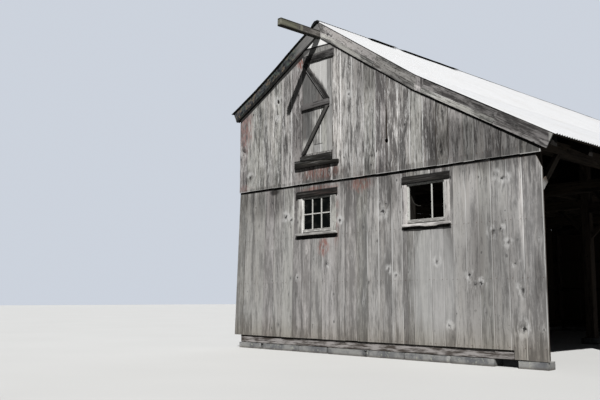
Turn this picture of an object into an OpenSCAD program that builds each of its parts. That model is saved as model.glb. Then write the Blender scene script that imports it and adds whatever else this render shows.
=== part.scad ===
// Timber-framed barn with a loft and an open-sided lean-to, in millimetres.
// The gable with the hay door faces -Y, the open side faces +X, and Z = 0 is the ground under the stones.

/* [Plan] */
// Width of the main barn, from the left wall to the outer face of the middle posts
main_w = 4080; // [3600:10:5000]
// Width of the lean-to, from the middle posts to the edge of the right-hand corner boards
lean_w = 2270; // [1900:10:3000]
// Distance from one cross frame to the next
bay_l = 3000; // [2400:10:3600]
// Number of bays along the barn
bays = 4; // [2:1:5]
// Length of the ridge beam that runs out over the hay door
hoist_out = 975; // [400:5:1300]
// Set-back of the right-hand posts from the edge of the corner boards
wing_w = 100; // [40:5:160]

/* [Roof] */
// Distance of the ridge from the left wall
ridge_x = 2180; // [1950:10:2350]
// Height of the roof boards at the ridge, from which all the upper levels hang
ridge_z = 5780; // [5200:10:6600]
// Drop of the roof boards from the ridge to the left wall
left_drop = 1139; // [1000:1:1300]
// Drop of the roof boards from the ridge to the bend where the lean-to roof begins
kink_drop = 1430; // [1290:5:1540]
// Distance of that bend from the outer face of the middle posts
kink_out = 230; // [120:5:320]
// Drop of the roof boards from that bend to the right-hand edge of the gable
right_drop = 1160; // [1000:5:1240]
// Reach of the roof boards past the left wall
left_overhang = 195; // [80:5:260]
// Reach of the roof boards past the right-hand edge of the gable
right_overhang = 200; // [120:5:320]
// Thickness of the roof boards
deck_t = 25; // [18:1:35]
// Depth of a rafter, square to the slope
rafter_d = 130; // [100:5:160]
// Width of a rafter
rafter_w = 90; // [70:5:120]
// Number of rafter spaces in a bay
rafters_per_bay = 3; // [2:1:4]
// Depth of the notch that seats a rafter on its plate
seat_cut = 40; // [20:2:60]
// Depth of the notch that seats a rafter on the ridge beam
ridge_seat = 5; // [2:1:15]
// Set-back of the rafter tails from the edge of the roof boards
tail_in = 20; // [5:1:50]
// Distance from crest to crest of the corrugated sheet
wave_pitch = 150; // [120:10:200]
// Depth of the corrugations
wave_h = 22; // [14:1:30]
// Thickness of the corrugated sheet
sheet_t = 2; // [1:0.5:3]
// Reach of the sheets past the rake boards and past the eave
sheet_drip = 28; // [10:1:45]
// Gap between the upper sheet and the lean-to sheet
sheet_gap = 4; // [2:1:10]
// Thickness of the roll roofing on the left slope
felt_t = 6; // [3:1:10]
// Width of each side of the ridge cap
cap_w = 170; // [120:5:240]
// Thickness of the ridge cap
cap_t = 3; // [2:0.5:5]
// Width of the rake boards
rake_w = 215; // [160:5:250]
// Half the gap between two rake boards
rake_gap = 1; // [0.5:0.5:3]

/* [Frame] */
// Side of a post, and height and width of the plates
post_w = 180; // [150:5:200]
// Height and width of the sills
sill_w = 200; // [160:5:220]
// Drop from the roof boards over the left wall to the underside of the tie beams
tie_drop = 1841; // [1740:1:1920]
// Height of a tie beam
tie_h = 200; // [160:5:220]
// Height of a loft joist
joist_h = 120; // [90:5:140]
// Width of a loft joist
joist_w = 90; // [60:5:110]
// Number of loft joists
joists = 6; // [4:1:8]
// Distance of the outer loft joists from the posts
joist_in = 60; // [20:5:120]
// Thickness of the loft floor
floor_t = 30; // [22:1:40]
// Clearance between the loft and the posts and studs around it
loft_gap = 5; // [2:1:15]
// Height and depth of the wall girts
girt_w = 90; // [70:5:100]
// Height of the lowest girts above the ground
low_girt_z = 1150; // [700:10:1500]
// Height of the girts in the upper walls above the loft floor
high_girt_up = 450; // [200:10:500]
// Clearance between a plate and the tie or the girt under it
plate_gap = 20; // [5:5:60]
// Depth of a knee brace
brace_d = 85; // [60:5:110]
// Thickness of a knee brace
brace_t = 60; // [40:5:80]
// Distance from the corner that a knee brace spans
brace_leg = 550; // [400:10:620]
// Height of the ridge beam
hoist_h = 135; // [110:5:170]
// Width of the ridge beam
hoist_w = 90; // [70:5:120]

/* [Stones] */
// Height of the foundation stones
stone_h = 100; // [80:5:140]
// Height of the pads under the free-standing posts
pad_h = 120; // [90:5:160]
// Side of such a pad
pad_w = 360; // [260:10:440]
// Width of the stone rows
row_w = 280; // [240:10:340]
// Length of a stone in the rows, about
stone_l = 850; // [600:10:1200]
// Gap between two stones
stone_gap = 18; // [8:1:30]
// Width of the hole in the front row beside the right-hand corner stone
stone_hole_w = 360; // [200:10:450]
// Set-back of the corner stones from the edge of the corner boards
stone_in = 20; // [0:5:60]

/* [Siding] */
// Thickness of the siding boards
board_t = 25; // [18:1:32]
// Height of the lower end of the siding
skirt_z = 235; // [200:5:280]
// Width of the corner boards that run down to the corner stone
corner_w = 505; // [300:5:600]
// Clearance between the corner boards and the corner stone
corner_gap = 8; // [4:1:20]
// Distance of the upper siding's lower edge below the top of the tie beams, at the left end of the gable
tier_down = 70; // [50:5:120]
// Drop of that line towards the right-hand end of the front gable
tier_drop = 70; // [0:5:90]
// Lap of the upper siding over the lower siding
tier_lap = 40; // [20:5:50]
// Gap between the two tiers of the left wall, which meet edge to edge
tier_gap = 3; // [1:1:8]
// Clearance between the upper siding and the roof boards
siding_gap = 4; // [2:1:12]
// Clearance between the ridge beam and the boards it passes through
beam_gap = 3; // [1:1:10]
// Distance of the seam beside the lean-to from the outer face of the middle posts
seam_in = 20; // [0:5:80]
// Width of the slanting cut at the top of the corner boards
clip_w = 95; // [40:5:140]
// Height of that cut
clip_h = 200; // [100:5:260]
// Distance of that cut below the edge of the upper siding
clip_drop = 20; // [5:5:60]

/* [Hay door] */
// Distance of the middle of the door from the left wall
door_x = 2125; // [2000:5:2200]
// Width of the door opening
door_w = 750; // [600:5:800]
// Height of the door opening, which hangs from the rake boards
door_h = 1650; // [1300:10:1850]
// Gap around the door
door_gap = 5; // [3:1:8]
// Width of the battens of the door
batten_w = 120; // [90:5:140]
// Thickness of the battens and of the header board
batten_t = 25; // [18:1:30]
// Height of the middle bar of the Z above the middle of the door
bar_up = 25; // [-80:5:80]
// Width of the studs beside the door
stud_w = 100; // [80:5:120]
// Part of each stud that shows in the opening, behind the door
stud_lap = 30; // [20:1:40]
// Width of the ledge under the door
ledge_w = 1060; // [900:10:1200]
// Height of the ledge timber at its thick end, towards the left wall
ledge_h = 150; // [80:5:170]
// Height of the ledge timber at its thin end
ledge_tip_h = 60; // [40:5:100]
// Reach of the ledge in front of the siding
ledge_out = 45; // [30:5:150]
// Distance of the top of the ledge below the door opening
ledge_drop = 35; // [0:5:100]
// Height of the top of the plank above the thick end of the timber
plank_up = 55; // [30:5:80]
// Width of that plank
plank_w = 760; // [700:10:1000]
// Depth that the plank is let into the timber
plank_seat = 3; // [2:1:10]
// Reach of the plank in front of the timber under it
plank_out = 10; // [0:5:40]
// Height of the header board over the door
header_h = 140; // [100:5:160]
// Width of the header board
header_w = 755; // [600:5:850]
// Distance of the middle of the header board from the middle of the door, towards the lean-to
header_shift = 42.5; // [0:2.5:60]
// Height of the header board above the door opening
header_up = 4; // [2:1:20]
// Clearance in height between the header board and the rake boards
header_gap = 52; // [20:1:120]

/* [Windows] */
// Distance of the middle of the left-hand window from the left wall
left_window_x = 2096; // [1500:1:2600]
// Distance of the middle of the right-hand window from the middle posts
right_window_in = 350; // [340:5:900]
// Width of a pane
pane_w = 203; // [180:1:240]
// Height of a pane
pane_h = 254; // [220:1:300]
// Columns of panes
pane_cols = 3; // [2:1:3]
// Rows of panes
pane_rows = 2; // [1:1:2]
// Width of a glazing bar
bar_w = 18; // [12:1:24]
// Width of the stiles and of the top rail of a sash
stile_w = 38; // [28:1:50]
// Height of the bottom rail of a sash
bottom_rail_h = 75; // [38:1:95]
// Distance of the top of the window heads below the upper siding's lower edge, at the left end of the gable
head_drop = 161; // [150:1:280]
// Thickness of the glass
glass_t = 3; // [2:0.5:5]
// Gap around a sash
sash_gap = 3; // [2:0.5:6]
// Lap of the casing over the sash
casing_lap = 10; // [6:1:16]
// Width of the side casings
casing_w = 115; // [80:5:140]
// Width of the side casings of the right-hand window, which has no horns
narrow_casing_w = 95; // [60:5:120]
// Thickness of the casings
casing_t = 20; // [15:1:30]
// Height of the window head
head_h = 105; // [60:5:120]
// Reach of the window head in front of the siding
head_out = 30; // [20:5:100]
// Height of the window sill
window_sill_h = 40; // [25:5:70]
// Reach of the left-hand window's sill in front of the siding
window_sill_out = 55; // [35:5:90]
// Reach of the right-hand window's sill, which is worn, in front of the siding
worn_sill_out = 35; // [25:5:90]
// Reach of head and sill past the casings of the left-hand window
horn = 35; // [0:5:60]

/* [Hidden] */

total_w = main_w + lean_w;
depth = bays * bay_l + post_w + 2 * board_t;
frame_y0 = board_t;
frame_y1 = depth - board_t;
frame_x0 = board_t;
right_post_x1 = total_w - wing_w;
right_post_x0 = right_post_x1 - post_w;
middle_post_x0 = main_w - post_w;
left_post_x1 = frame_x0 + post_w;
sill_top = stone_h + sill_w;
kink_x = main_w + kink_out;

left_pt = [0, ridge_z - left_drop];
ridge_pt = [ridge_x, ridge_z];
kink_pt = [kink_x, ridge_z - kink_drop];
right_pt = [total_w, kink_pt[1] - right_drop];

tie_z = left_pt[1] - tie_drop;
loft_z = tie_z + tie_h + joist_h;
loft_y0 = stud_w + loft_gap;
loft_y1 = depth - stud_w - loft_gap;
high_girt_z = loft_z + floor_t + high_girt_up;
tier_z = tie_z + tie_h - tier_down;
seam_x = main_w - seam_in;

// Height of the line through p and q at x
function line_z(p, q, x) = p[1] + (q[1] - p[1]) / (q[0] - p[0]) * (x - p[0]);
// Angle of that line below the level, towards +X
function fall(p, q) = atan2(p[1] - q[1], q[0] - p[0]);
// Height that a layer of thickness t takes up when it lies on that line
function rise_of(p, q, t) = t / cos(fall(p, q));
// Height of the top of the roof boards at x
function roof_z(x) = x < ridge_x ? line_z(left_pt, ridge_pt, x)
    : x < kink_x ? line_z(ridge_pt, kink_pt, x)
    : line_z(kink_pt, right_pt, x);
// Height that a layer of thickness t takes up on the roof at x
function roof_rise(x, t) = x < ridge_x ? rise_of(left_pt, ridge_pt, t)
    : x < kink_x ? rise_of(ridge_pt, kink_pt, t)
    : rise_of(kink_pt, right_pt, t);
// Height of a surface that lies t below the top of the roof boards at x
function below_roof(x, t) = roof_z(x) - roof_rise(x, t);
// Height of the underside of the rafters at x
function rafter_z(x) = below_roof(x, deck_t + rafter_d);
// Height of the line between the two tiers of siding at x on the front gable
function tier_line(x) = tier_z - tier_drop * x / total_w;
// First face of cross frame i
function frame_y(i) = frame_y0 + i * bay_l;
// Repeatable scatter between -1 and 1
function scatter(k) = sin(k * 137.5 + 40 * sin(k * 61));

left_plate_z = rafter_z(frame_x0) + seat_cut - post_w;
middle_plate_z = rafter_z(main_w) + seat_cut - post_w;
right_plate_z = rafter_z(right_post_x1) + seat_cut - post_w;
lean_tie_z = right_plate_z - plate_gap - tie_h;
hoist_z = ridge_z - rise_of(left_pt, ridge_pt, deck_t + rafter_d) + ridge_seat - hoist_h;

roof_y0 = -2 * board_t - sheet_drip;
roof_y1 = depth + 2 * board_t + sheet_drip;
sheet_end_x = total_w + right_overhang + sheet_drip;
x_min = -left_overhang - sheet_drip;
x_max = sheet_end_x + (wave_h + sheet_t) * sin(fall(kink_pt, right_pt));
y_min = min(-hoist_out, roof_y0);

sash_t = board_t;
sash_w = pane_cols * pane_w + (pane_cols - 1) * bar_w + 2 * stile_w;
sash_h = pane_rows * pane_h + (pane_rows - 1) * bar_w + stile_w + bottom_rail_h;
sash_z = tier_z - head_drop - head_h + casing_lap - sash_h;
glass_z = sash_z + bottom_rail_h;
right_window_x = main_w + right_window_in;
window_girt_z = sash_z - sash_gap - girt_w;

header_x0 = door_x + header_shift - header_w / 2;
header_x1 = header_x0 + header_w;
header_z1 = min(below_roof(header_x0, rake_w), below_roof(header_x1, rake_w)) - header_gap;
header_z0 = header_z1 - header_h;
door_x0 = door_x - door_w / 2;
door_x1 = door_x + door_w / 2;
left_stud_x = door_x0 + stud_lap - stud_w;
right_stud_x = door_x1 - stud_lap;
door_z1 = header_z0 - header_up;
door_z0 = door_z1 - door_h;

// Share of a stone's short side that is cut off its corners, and how much that varies
stone_cut = 0.14;
stone_cut_vary = 0.6;
// Share of a stone's length that the stones of a row vary by
stone_l_vary = 0.12;
// Straight steps in one wave of the corrugated sheet
wave_steps = 8;

wood_grey = [0.55, 0.54, 0.52];
wood_dark = [0.30, 0.27, 0.24];
wood_brown = [0.42, 0.35, 0.28];

// Puts the middle of the whole barn's footprint on the origin
module placed() {
    translate([-(x_min + x_max) / 2, -(y_min + roof_y1) / 2, 0]) children();
}

// Extrudes an outline drawn in X and Z from y0 to y1
module along_y(y0, y1) {
    translate([0, y1, 0]) rotate([90, 0, 0]) linear_extrude(y1 - y0) children();
}

// Extrudes an outline drawn in Y and Z from x0 to x1
module along_x(x0, x1) {
    translate([x0, 0, 0]) rotate([90, 0, 90]) linear_extrude(x1 - x0) children();
}

// Block between two corners
module block(x0, x1, y0, y1, z0, z1) {
    translate([x0, y0, z0]) cube([x1 - x0, y1 - y0, z1 - z0]);
}

// Rectangle between two corners
module plate_2d(x0, x1, z0, z1) {
    translate([x0, z0]) square([x1 - x0, z1 - z0]);
}

// Layer that lies along the line p to q, from x0 to x1, between depths top and bottom under it
module layer(p, q, x0, x1, top, bottom) {
    high = rise_of(p, q, top);
    low = rise_of(p, q, bottom);
    polygon([[x0, line_z(p, q, x0) - high], [x1, line_z(p, q, x1) - high],
        [x1, line_z(p, q, x1) - low], [x0, line_z(p, q, x0) - low]]);
}

// Flat stone with an uneven outline
module stone(x0, x1, y0, y1, h, seed) {
    cut = stone_cut * min(x1 - x0, y1 - y0);
    a = [for (k = [0 : 7]) cut * (1 + stone_cut_vary * scatter(seed + k))];
    linear_extrude(h) polygon([[x0 + a[0], y0], [x1 - a[1], y0 + a[1] / 3], [x1, y0 + a[2]],
        [x1 - a[3] / 3, y1 - a[3]], [x1 - a[4], y1], [x0 + a[5], y1 - a[5] / 3],
        [x0, y1 - a[6]], [x0 + a[7] / 3, y0 + a[7]]]);
}

// Row of stones along X from x0 to x1
module stone_row(x0, x1, y0, seed) {
    n = max(2, round((x1 - x0) / stone_l));
    step = (x1 - x0) / n;
    shift = stone_l_vary * step;
    edge = [for (k = [0 : n]) x0 + k * step + (k > 0 && k < n ? shift * scatter(seed + 9 * k) : 0)];
    for (k = [0 : n - 1])
        stone(edge[k] + stone_gap / 2, edge[k + 1] - stone_gap / 2, y0, y0 + row_w, stone_h, seed + 20 * k);
}

// Stone rows under the three sills and pads under the posts that stand free
module foundation_stones() {
    out = (row_w - sill_w) / 2;
    color([0.55, 0.56, 0.58]) placed() {
        stone_row(frame_x0 - out, right_post_x1 - pad_w - stone_hole_w, frame_y0 - out, 1);
        stone(right_post_x1 - pad_w, total_w - stone_in, frame_y0 - out, frame_y0 - out + row_w, stone_h, 5);
        stone_row(frame_x0 - out, total_w - stone_in, frame_y1 - sill_w - out, 300);
        mirror([1, -1, 0]) stone_row(frame_y0 - out + row_w, frame_y1 - sill_w - out, frame_x0 - out, 500);
        for (i = [1 : bays - 1]) {
            post_pad(middle_post_x0, frame_y(i), 700 + i);
            post_pad(right_post_x0, frame_y(i), 800 + i);
        }
    }
}

// Pad under the post whose first corner is at x, y
module post_pad(x, y, seed) {
    out = (pad_w - post_w) / 2;
    stone(x - out, x + post_w + out, y - out, y + post_w + out, pad_h, seed);
}

// Sill under the front gable
module front_sill() {
    color(wood_brown) placed()
        block(frame_x0, right_post_x1, frame_y0, frame_y0 + sill_w, stone_h, sill_top);
}

// Sill under the left wall, between the other two
module left_sill() {
    color(wood_brown) placed()
        block(frame_x0, frame_x0 + sill_w, frame_y0 + sill_w, frame_y1 - sill_w, stone_h, sill_top);
}

// Sill under the back gable
module back_sill() {
    color(wood_brown) placed()
        block(frame_x0, right_post_x1, frame_y1 - sill_w, frame_y1, stone_h, sill_top);
}

// Posts of one row, which stand on a sill at both ends and on inner_z between
module post_row(x0, inner_z, top_z) {
    for (i = [0 : bays]) {
        foot_z = i == 0 || i == bays ? sill_top : inner_z;
        block(x0, x0 + post_w, frame_y(i), frame_y(i) + post_w, foot_z, top_z);
    }
}

// Posts in the left wall
module left_posts() {
    color(wood_brown) placed() post_row(frame_x0, sill_top, left_plate_z);
}

// Posts between the main barn and the lean-to
module middle_posts() {
    color(wood_brown) placed() post_row(middle_post_x0, pad_h, middle_plate_z);
}

// Posts of the open side
module right_posts() {
    color(wood_brown) placed() post_row(right_post_x0, pad_h, right_plate_z);
}

// Plate on top of one row of posts
module plate(x0, z0) {
    block(x0, x0 + post_w, frame_y0, frame_y1, z0, z0 + post_w);
}

// Plate of the left wall
module left_plate() {
    color(wood_brown) placed() plate(frame_x0, left_plate_z);
}

// Plate over the middle posts
module middle_plate() {
    color(wood_brown) placed() plate(middle_post_x0, middle_plate_z);
}

// Plate of the open side
module right_plate() {
    color(wood_brown) placed() plate(right_post_x0, right_plate_z);
}

// Tie beams across the main barn, which carry the loft
module tie_beams() {
    color(wood_brown) placed() for (i = [0 : bays])
        block(left_post_x1, middle_post_x0, frame_y(i), frame_y(i) + post_w, tie_z, tie_z + tie_h);
}

// Ties between the middle posts and the posts of the open side
module lean_to_ties() {
    color(wood_brown) placed() for (i = [0 : bays])
        block(main_w, right_post_x0, frame_y(i), frame_y(i) + post_w, lean_tie_z, lean_tie_z + tie_h);
}

// Outline of a knee brace in the corner between a post face at u and a beam's underside at z
module brace_2d(u, z, side) {
    d = brace_d * sqrt(2);
    polygon([[u, z - brace_leg], [u + side * brace_leg, z], [u + side * (brace_leg - d), z],
        [u, z - brace_leg + d]]);
}

// Knee braces of one row, from every post to the plate over it
module brace_row(x0, z) {
    along_x(x0, x0 + brace_t) for (i = [0 : bays - 1]) {
        brace_2d(frame_y(i) + post_w, z, 1);
        brace_2d(frame_y(i + 1), z, -1);
    }
}

// Knee braces in the three long rows of posts
module wall_braces() {
    color(wood_brown) placed() {
        brace_row(left_post_x1 - brace_t, left_plate_z);
        brace_row(middle_post_x0 + (post_w - brace_t) / 2, middle_plate_z);
        brace_row(right_post_x1 - brace_t, right_plate_z);
    }
}

// Knee braces under the ties of the inner cross frames
module frame_braces() {
    color(wood_brown) placed() for (i = [1 : bays - 1]) {
        y0 = frame_y(i) + (post_w - brace_t) / 2;
        along_y(y0, y0 + brace_t) {
            brace_2d(left_post_x1, tie_z, 1);
            brace_2d(middle_post_x0, tie_z, -1);
            brace_2d(main_w, lean_tie_z, 1);
            brace_2d(right_post_x0, lean_tie_z, -1);
        }
    }
}

// Joists laid across the tie beams
module loft_joists() {
    step = (middle_post_x0 - left_post_x1 - 2 * joist_in - joist_w) / (joists - 1);
    color(wood_brown) placed() for (k = [0 : joists - 1]) {
        x = left_post_x1 + joist_in + k * step;
        block(x, x + joist_w, loft_y0, loft_y1, tie_z + tie_h, loft_z);
    }
}

// Floor of the loft
module loft_floor() {
    color(wood_grey) placed()
        block(left_post_x1 + loft_gap, middle_post_x0 - loft_gap, loft_y0, loft_y1, loft_z, loft_z + floor_t);
}

// Girts from post to post in the closed walls
module wall_girts() {
    color(wood_brown) placed() {
        for (z = [low_girt_z, high_girt_z]) for (i = [0 : bays - 1])
            block(frame_x0, frame_x0 + girt_w, frame_y(i) + post_w, frame_y(i + 1), z, z + girt_w);
        for (z = [low_girt_z, window_girt_z]) {
            gable_wall_girts(frame_y0, z);
            gable_wall_girts(frame_y1 - girt_w, z);
        }
    }
}

// Girts of one gable at height z, in the main barn and in the lean-to
module gable_wall_girts(y0, z) {
    block(left_post_x1, middle_post_x0, y0, y0 + girt_w, z, z + girt_w);
    block(main_w, right_post_x0, y0, y0 + girt_w, z, z + girt_w);
}

// Outline of a gable stud from x0 to x1, cut to the slope of the rafters
module stud_2d(x0, x1) {
    z0 = tie_z + tie_h;
    polygon([[x0, z0], [x1, z0], [x1, rafter_z(x1)], [x0, rafter_z(x0)]]);
}

// Studs that frame the hay door, and the like pair in the back gable
module gable_studs() {
    color(wood_brown) placed() for (y = [0, depth - stud_w]) along_y(y, y + stud_w) {
        stud_2d(left_stud_x, left_stud_x + stud_w);
        stud_2d(right_stud_x, right_stud_x + stud_w);
    }
}

// Girts of the upper gables, from the plates to the studs
module gable_girts() {
    z = min(left_plate_z, middle_plate_z) - plate_gap - girt_w;
    color(wood_brown) placed() for (y = [0, depth - girt_w]) {
        block(left_post_x1, left_stud_x, y, y + girt_w, z, z + girt_w);
        block(right_stud_x + stud_w, middle_post_x0, y, y + girt_w, z, z + girt_w);
    }
}

// Section of the ridge beam, grown by gap
module ridge_beam_2d(gap) {
    half = hoist_w / 2 + gap;
    plate_2d(ridge_x - half, ridge_x + half, hoist_z - gap, hoist_z + hoist_h + gap);
}

// Beam under the ridge, which runs out over the hay door and carries the hoist
module ridge_beam() {
    color(wood_dark) placed() along_y(-hoist_out, depth) ridge_beam_2d(0);
}

// Repeats a rafter outline along the barn
module rafter_set() {
    n = bays * rafters_per_bay;
    step = (depth - rafter_w) / n;
    for (k = [0 : n]) along_y(k * step, k * step + rafter_w) children();
}

// Rafters of the left slope, notched over the left plate and the ridge beam
module left_rafters() {
    color(wood_brown) placed() rafter_set() difference() {
        layer(left_pt, ridge_pt, tail_in - left_overhang, ridge_x, deck_t, deck_t + rafter_d);
        plate_2d(frame_x0, left_post_x1, left_plate_z, left_plate_z + post_w);
        ridge_beam_2d(0);
    }
}

// Rafters of the main right slope, notched over the ridge beam and the middle plate
module right_rafters() {
    color(wood_brown) placed() rafter_set() difference() {
        layer(ridge_pt, kink_pt, ridge_x, kink_x, deck_t, deck_t + rafter_d);
        plate_2d(middle_post_x0, main_w, middle_plate_z, middle_plate_z + post_w);
        ridge_beam_2d(0);
    }
}

// Rafters of the lean-to, butted to the tails of the main rafters
module lean_to_rafters() {
    color(wood_brown) placed() rafter_set() difference() {
        layer(kink_pt, right_pt, kink_x, total_w + right_overhang - tail_in, deck_t, deck_t + rafter_d);
        plate_2d(right_post_x0, right_post_x1, right_plate_z, right_plate_z + post_w);
    }
}

// Boards on the left slope
module left_roof_boards() {
    color(wood_dark) placed() along_y(-board_t, depth + board_t)
        layer(left_pt, ridge_pt, -left_overhang, ridge_x, 0, deck_t);
}

// Boards on the main right slope
module right_roof_boards() {
    color(wood_dark) placed() along_y(-board_t, depth + board_t)
        layer(ridge_pt, kink_pt, ridge_x, kink_x, 0, deck_t);
}

// Boards on the lean-to slope
module lean_to_roof_boards() {
    color(wood_dark) placed() along_y(-board_t, depth + board_t)
        layer(kink_pt, right_pt, kink_x, total_w + right_overhang, 0, deck_t);
}

// Roll roofing on the left slope
module left_roofing() {
    color([0.22, 0.23, 0.23]) placed() along_y(roof_y0, roof_y1)
        layer(left_pt, ridge_pt, x_min, ridge_x, -felt_t, 0);
}

// Section of the corrugated sheet, from one end of the barn to the other
module wave_2d() {
    n = floor((roof_y1 - roof_y0) / wave_pitch * wave_steps);
    along = [for (k = [0 : n]) roof_y0 + (roof_y1 - roof_y0) * k / n];
    up = [for (y = along) wave_h / 2 * (1 - cos(360 * (y - roof_y0) / wave_pitch))];
    polygon(concat([for (k = [0 : n]) [along[k], up[k]]],
        [for (k = [n : -1 : 0]) [along[k], up[k] + sheet_t]]));
}

// Corrugated sheet laid down the slope p to q, from x0 to x1
module corrugated(p, q, x0, x1) {
    a = fall(p, q);
    translate([x0, 0, line_z(p, q, x0)]) rotate([0, a, 0]) rotate([90, 0, 90])
        linear_extrude((x1 - x0) / cos(a)) wave_2d();
}

// Corrugated sheet on the main right slope
module right_roof_sheet() {
    color([0.93, 0.94, 0.95]) placed() corrugated(ridge_pt, kink_pt, ridge_x, kink_x - sheet_gap);
}

// Corrugated sheet on the lean-to
module lean_to_roof_sheet() {
    color([0.93, 0.94, 0.95]) placed() corrugated(kink_pt, right_pt, kink_x, sheet_end_x);
}

// Folded cap over the ridge
module ridge_cap() {
    crest = rise_of(ridge_pt, kink_pt, wave_h + sheet_t);
    x0 = ridge_x - cap_w;
    x1 = ridge_x + cap_w;
    under = [[x0, roof_z(x0) + roof_rise(x0, felt_t)], [ridge_x, ridge_z + crest], [x1, roof_z(x1) + crest]];
    top = [for (p = under) p + [0, cap_t]];
    color([0.25, 0.25, 0.26]) placed() along_y(roof_y0, roof_y1)
        polygon([under[0], under[1], under[2], top[2], top[1], top[0]]);
}

// Openings for both sashes
module sash_holes_2d() {
    half = sash_w / 2 + sash_gap;
    for (x = [left_window_x, right_window_x])
        plate_2d(x - half, x + half, sash_z - sash_gap, sash_z + sash_h + sash_gap);
}

// Everything under the rafters
module under_rafters_2d() {
    polygon([[0, 0], [total_w, 0], [total_w, rafter_z(total_w) - siding_gap],
        [kink_x, rafter_z(kink_x) - siding_gap], [0, rafter_z(kink_x) - siding_gap]]);
}

// Lower siding of the front gable, with the left-hand window opening
module front_lower_siding() {
    color(wood_grey) placed() along_y(0, board_t) difference() {
        polygon([[0, skirt_z], [seam_x, skirt_z], [seam_x, tier_line(seam_x) + tier_lap],
            [0, tier_line(0) + tier_lap]]);
        sash_holes_2d();
    }
}

// Siding of the lean-to front, with the right-hand window opening and the corner boards
module lean_to_siding() {
    color(wood_grey) placed() along_y(0, board_t) intersection() {
        under_rafters_2d();
        difference() {
            lean_to_front_2d();
            sash_holes_2d();
        }
    }
}

// Outline of the lean-to front
module lean_to_front_2d() {
    corner_x = total_w - corner_w;
    clip_z = tier_line(total_w) - clip_drop;
    polygon([[seam_x, skirt_z], [corner_x, skirt_z], [corner_x, stone_h + corner_gap],
        [total_w, stone_h + corner_gap], [total_w, clip_z - clip_h], [total_w - clip_w, clip_z],
        [total_w - clip_w, tier_line(total_w) + tier_lap], [seam_x, tier_line(seam_x) + tier_lap]]);
}

// Outline of an upper gable whose lower edge runs from z0 at the left to z1 at the right
module gable_2d(z0, z1) {
    t = deck_t + siding_gap;
    kink_z = kink_pt[1] - max(rise_of(ridge_pt, kink_pt, t), rise_of(kink_pt, right_pt, t));
    difference() {
        polygon([[0, z0], [total_w, z1], [total_w, below_roof(total_w, t)], [kink_x, kink_z],
            [ridge_x, below_roof(ridge_x, t)], [0, below_roof(0, t)]]);
        ridge_beam_2d(beam_gap);
    }
}

// Upper siding of the front gable, with the hay door opening
module front_upper_siding() {
    color(wood_grey) placed() along_y(-board_t, 0) difference() {
        gable_2d(tier_line(0), tier_line(total_w));
        plate_2d(door_x0, door_x1, door_z0, door_z1);
    }
}

// Lower siding of the left wall
module left_lower_siding() {
    color(wood_grey) placed() block(0, board_t, board_t, depth - board_t, skirt_z, tier_z + tier_lap);
}

// Upper siding of the left wall
module left_upper_siding() {
    color(wood_grey) placed()
        block(0, board_t, 0, depth, tier_z + tier_lap + tier_gap, rafter_z(0) - siding_gap);
}

// Lower siding of the back gable
module back_lower_siding() {
    color(wood_grey) placed() along_y(depth - board_t, depth) intersection() {
        under_rafters_2d();
        plate_2d(0, total_w, skirt_z, tier_z + tier_lap);
    }
}

// Upper siding of the back gable
module back_upper_siding() {
    color(wood_grey) placed() along_y(depth, depth + board_t) gable_2d(tier_z, tier_z);
}

// Rake boards of one gable, with square outer ends and plumb joints
module rake_boards(y0) {
    left_a = fall(left_pt, ridge_pt);
    right_a = fall(kink_pt, right_pt);
    left_end = [-left_overhang, roof_z(-left_overhang)];
    right_end = [total_w + right_overhang, roof_z(total_w + right_overhang)];
    peak_x = ridge_x - rake_gap;
    joint_x = kink_x + rake_gap;
    joint_z = roof_z(joint_x);
    along_y(y0, y0 + board_t) difference() {
        union() {
            polygon([left_end, [peak_x, roof_z(peak_x)], [peak_x, below_roof(peak_x, rake_w)],
                left_end + rake_w * [-sin(left_a), -cos(left_a)]]);
            layer(ridge_pt, kink_pt, ridge_x + rake_gap, kink_x - rake_gap, 0, rake_w);
            polygon([[joint_x, joint_z], right_end, right_end + rake_w * [-sin(right_a), -cos(right_a)],
                [joint_x, below_roof(joint_x, rake_w)]]);
        }
        ridge_beam_2d(beam_gap);
    }
}

// Rake boards of the front gable
module front_rake_boards() {
    color(wood_dark) placed() rake_boards(-2 * board_t);
}

// Rake boards of the back gable
module back_rake_boards() {
    color(wood_dark) placed() rake_boards(depth + board_t);
}

// Outline of a batten between two points, square to their line
module batten_2d(a, b) {
    n = [a[1] - b[1], b[0] - a[0]] / norm(b - a) * batten_w / 2;
    polygon([a + n, b + n, b - n, a - n]);
}

// Hay door with its battens in the form of a Z laid over a middle bar
module hay_door() {
    x0 = door_x0 + door_gap;
    x1 = door_x1 - door_gap;
    z0 = door_z0 + door_gap;
    z1 = door_z1 - door_gap;
    mid_z = (z0 + z1) / 2 + bar_up;
    edge = batten_w / 2;
    color(wood_grey) placed() {
        along_y(-board_t, 0) plate_2d(x0, x1, z0, z1);
        along_y(-board_t - batten_t, 0) intersection() {
            plate_2d(x0, x1, z0, z1);
            union() {
                batten_2d([x0, mid_z], [x1, mid_z]);
                batten_2d([x0 + edge, z1], [x1 - edge, mid_z + edge]);
                batten_2d([x1 - edge, mid_z - edge], [x0 + edge, z0]);
            }
        }
    }
}

// Board over the hay door
module hay_door_header() {
    color(wood_dark) placed()
        block(header_x0, header_x1, -board_t - batten_t, -board_t, header_z0, header_z1);
}

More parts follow.
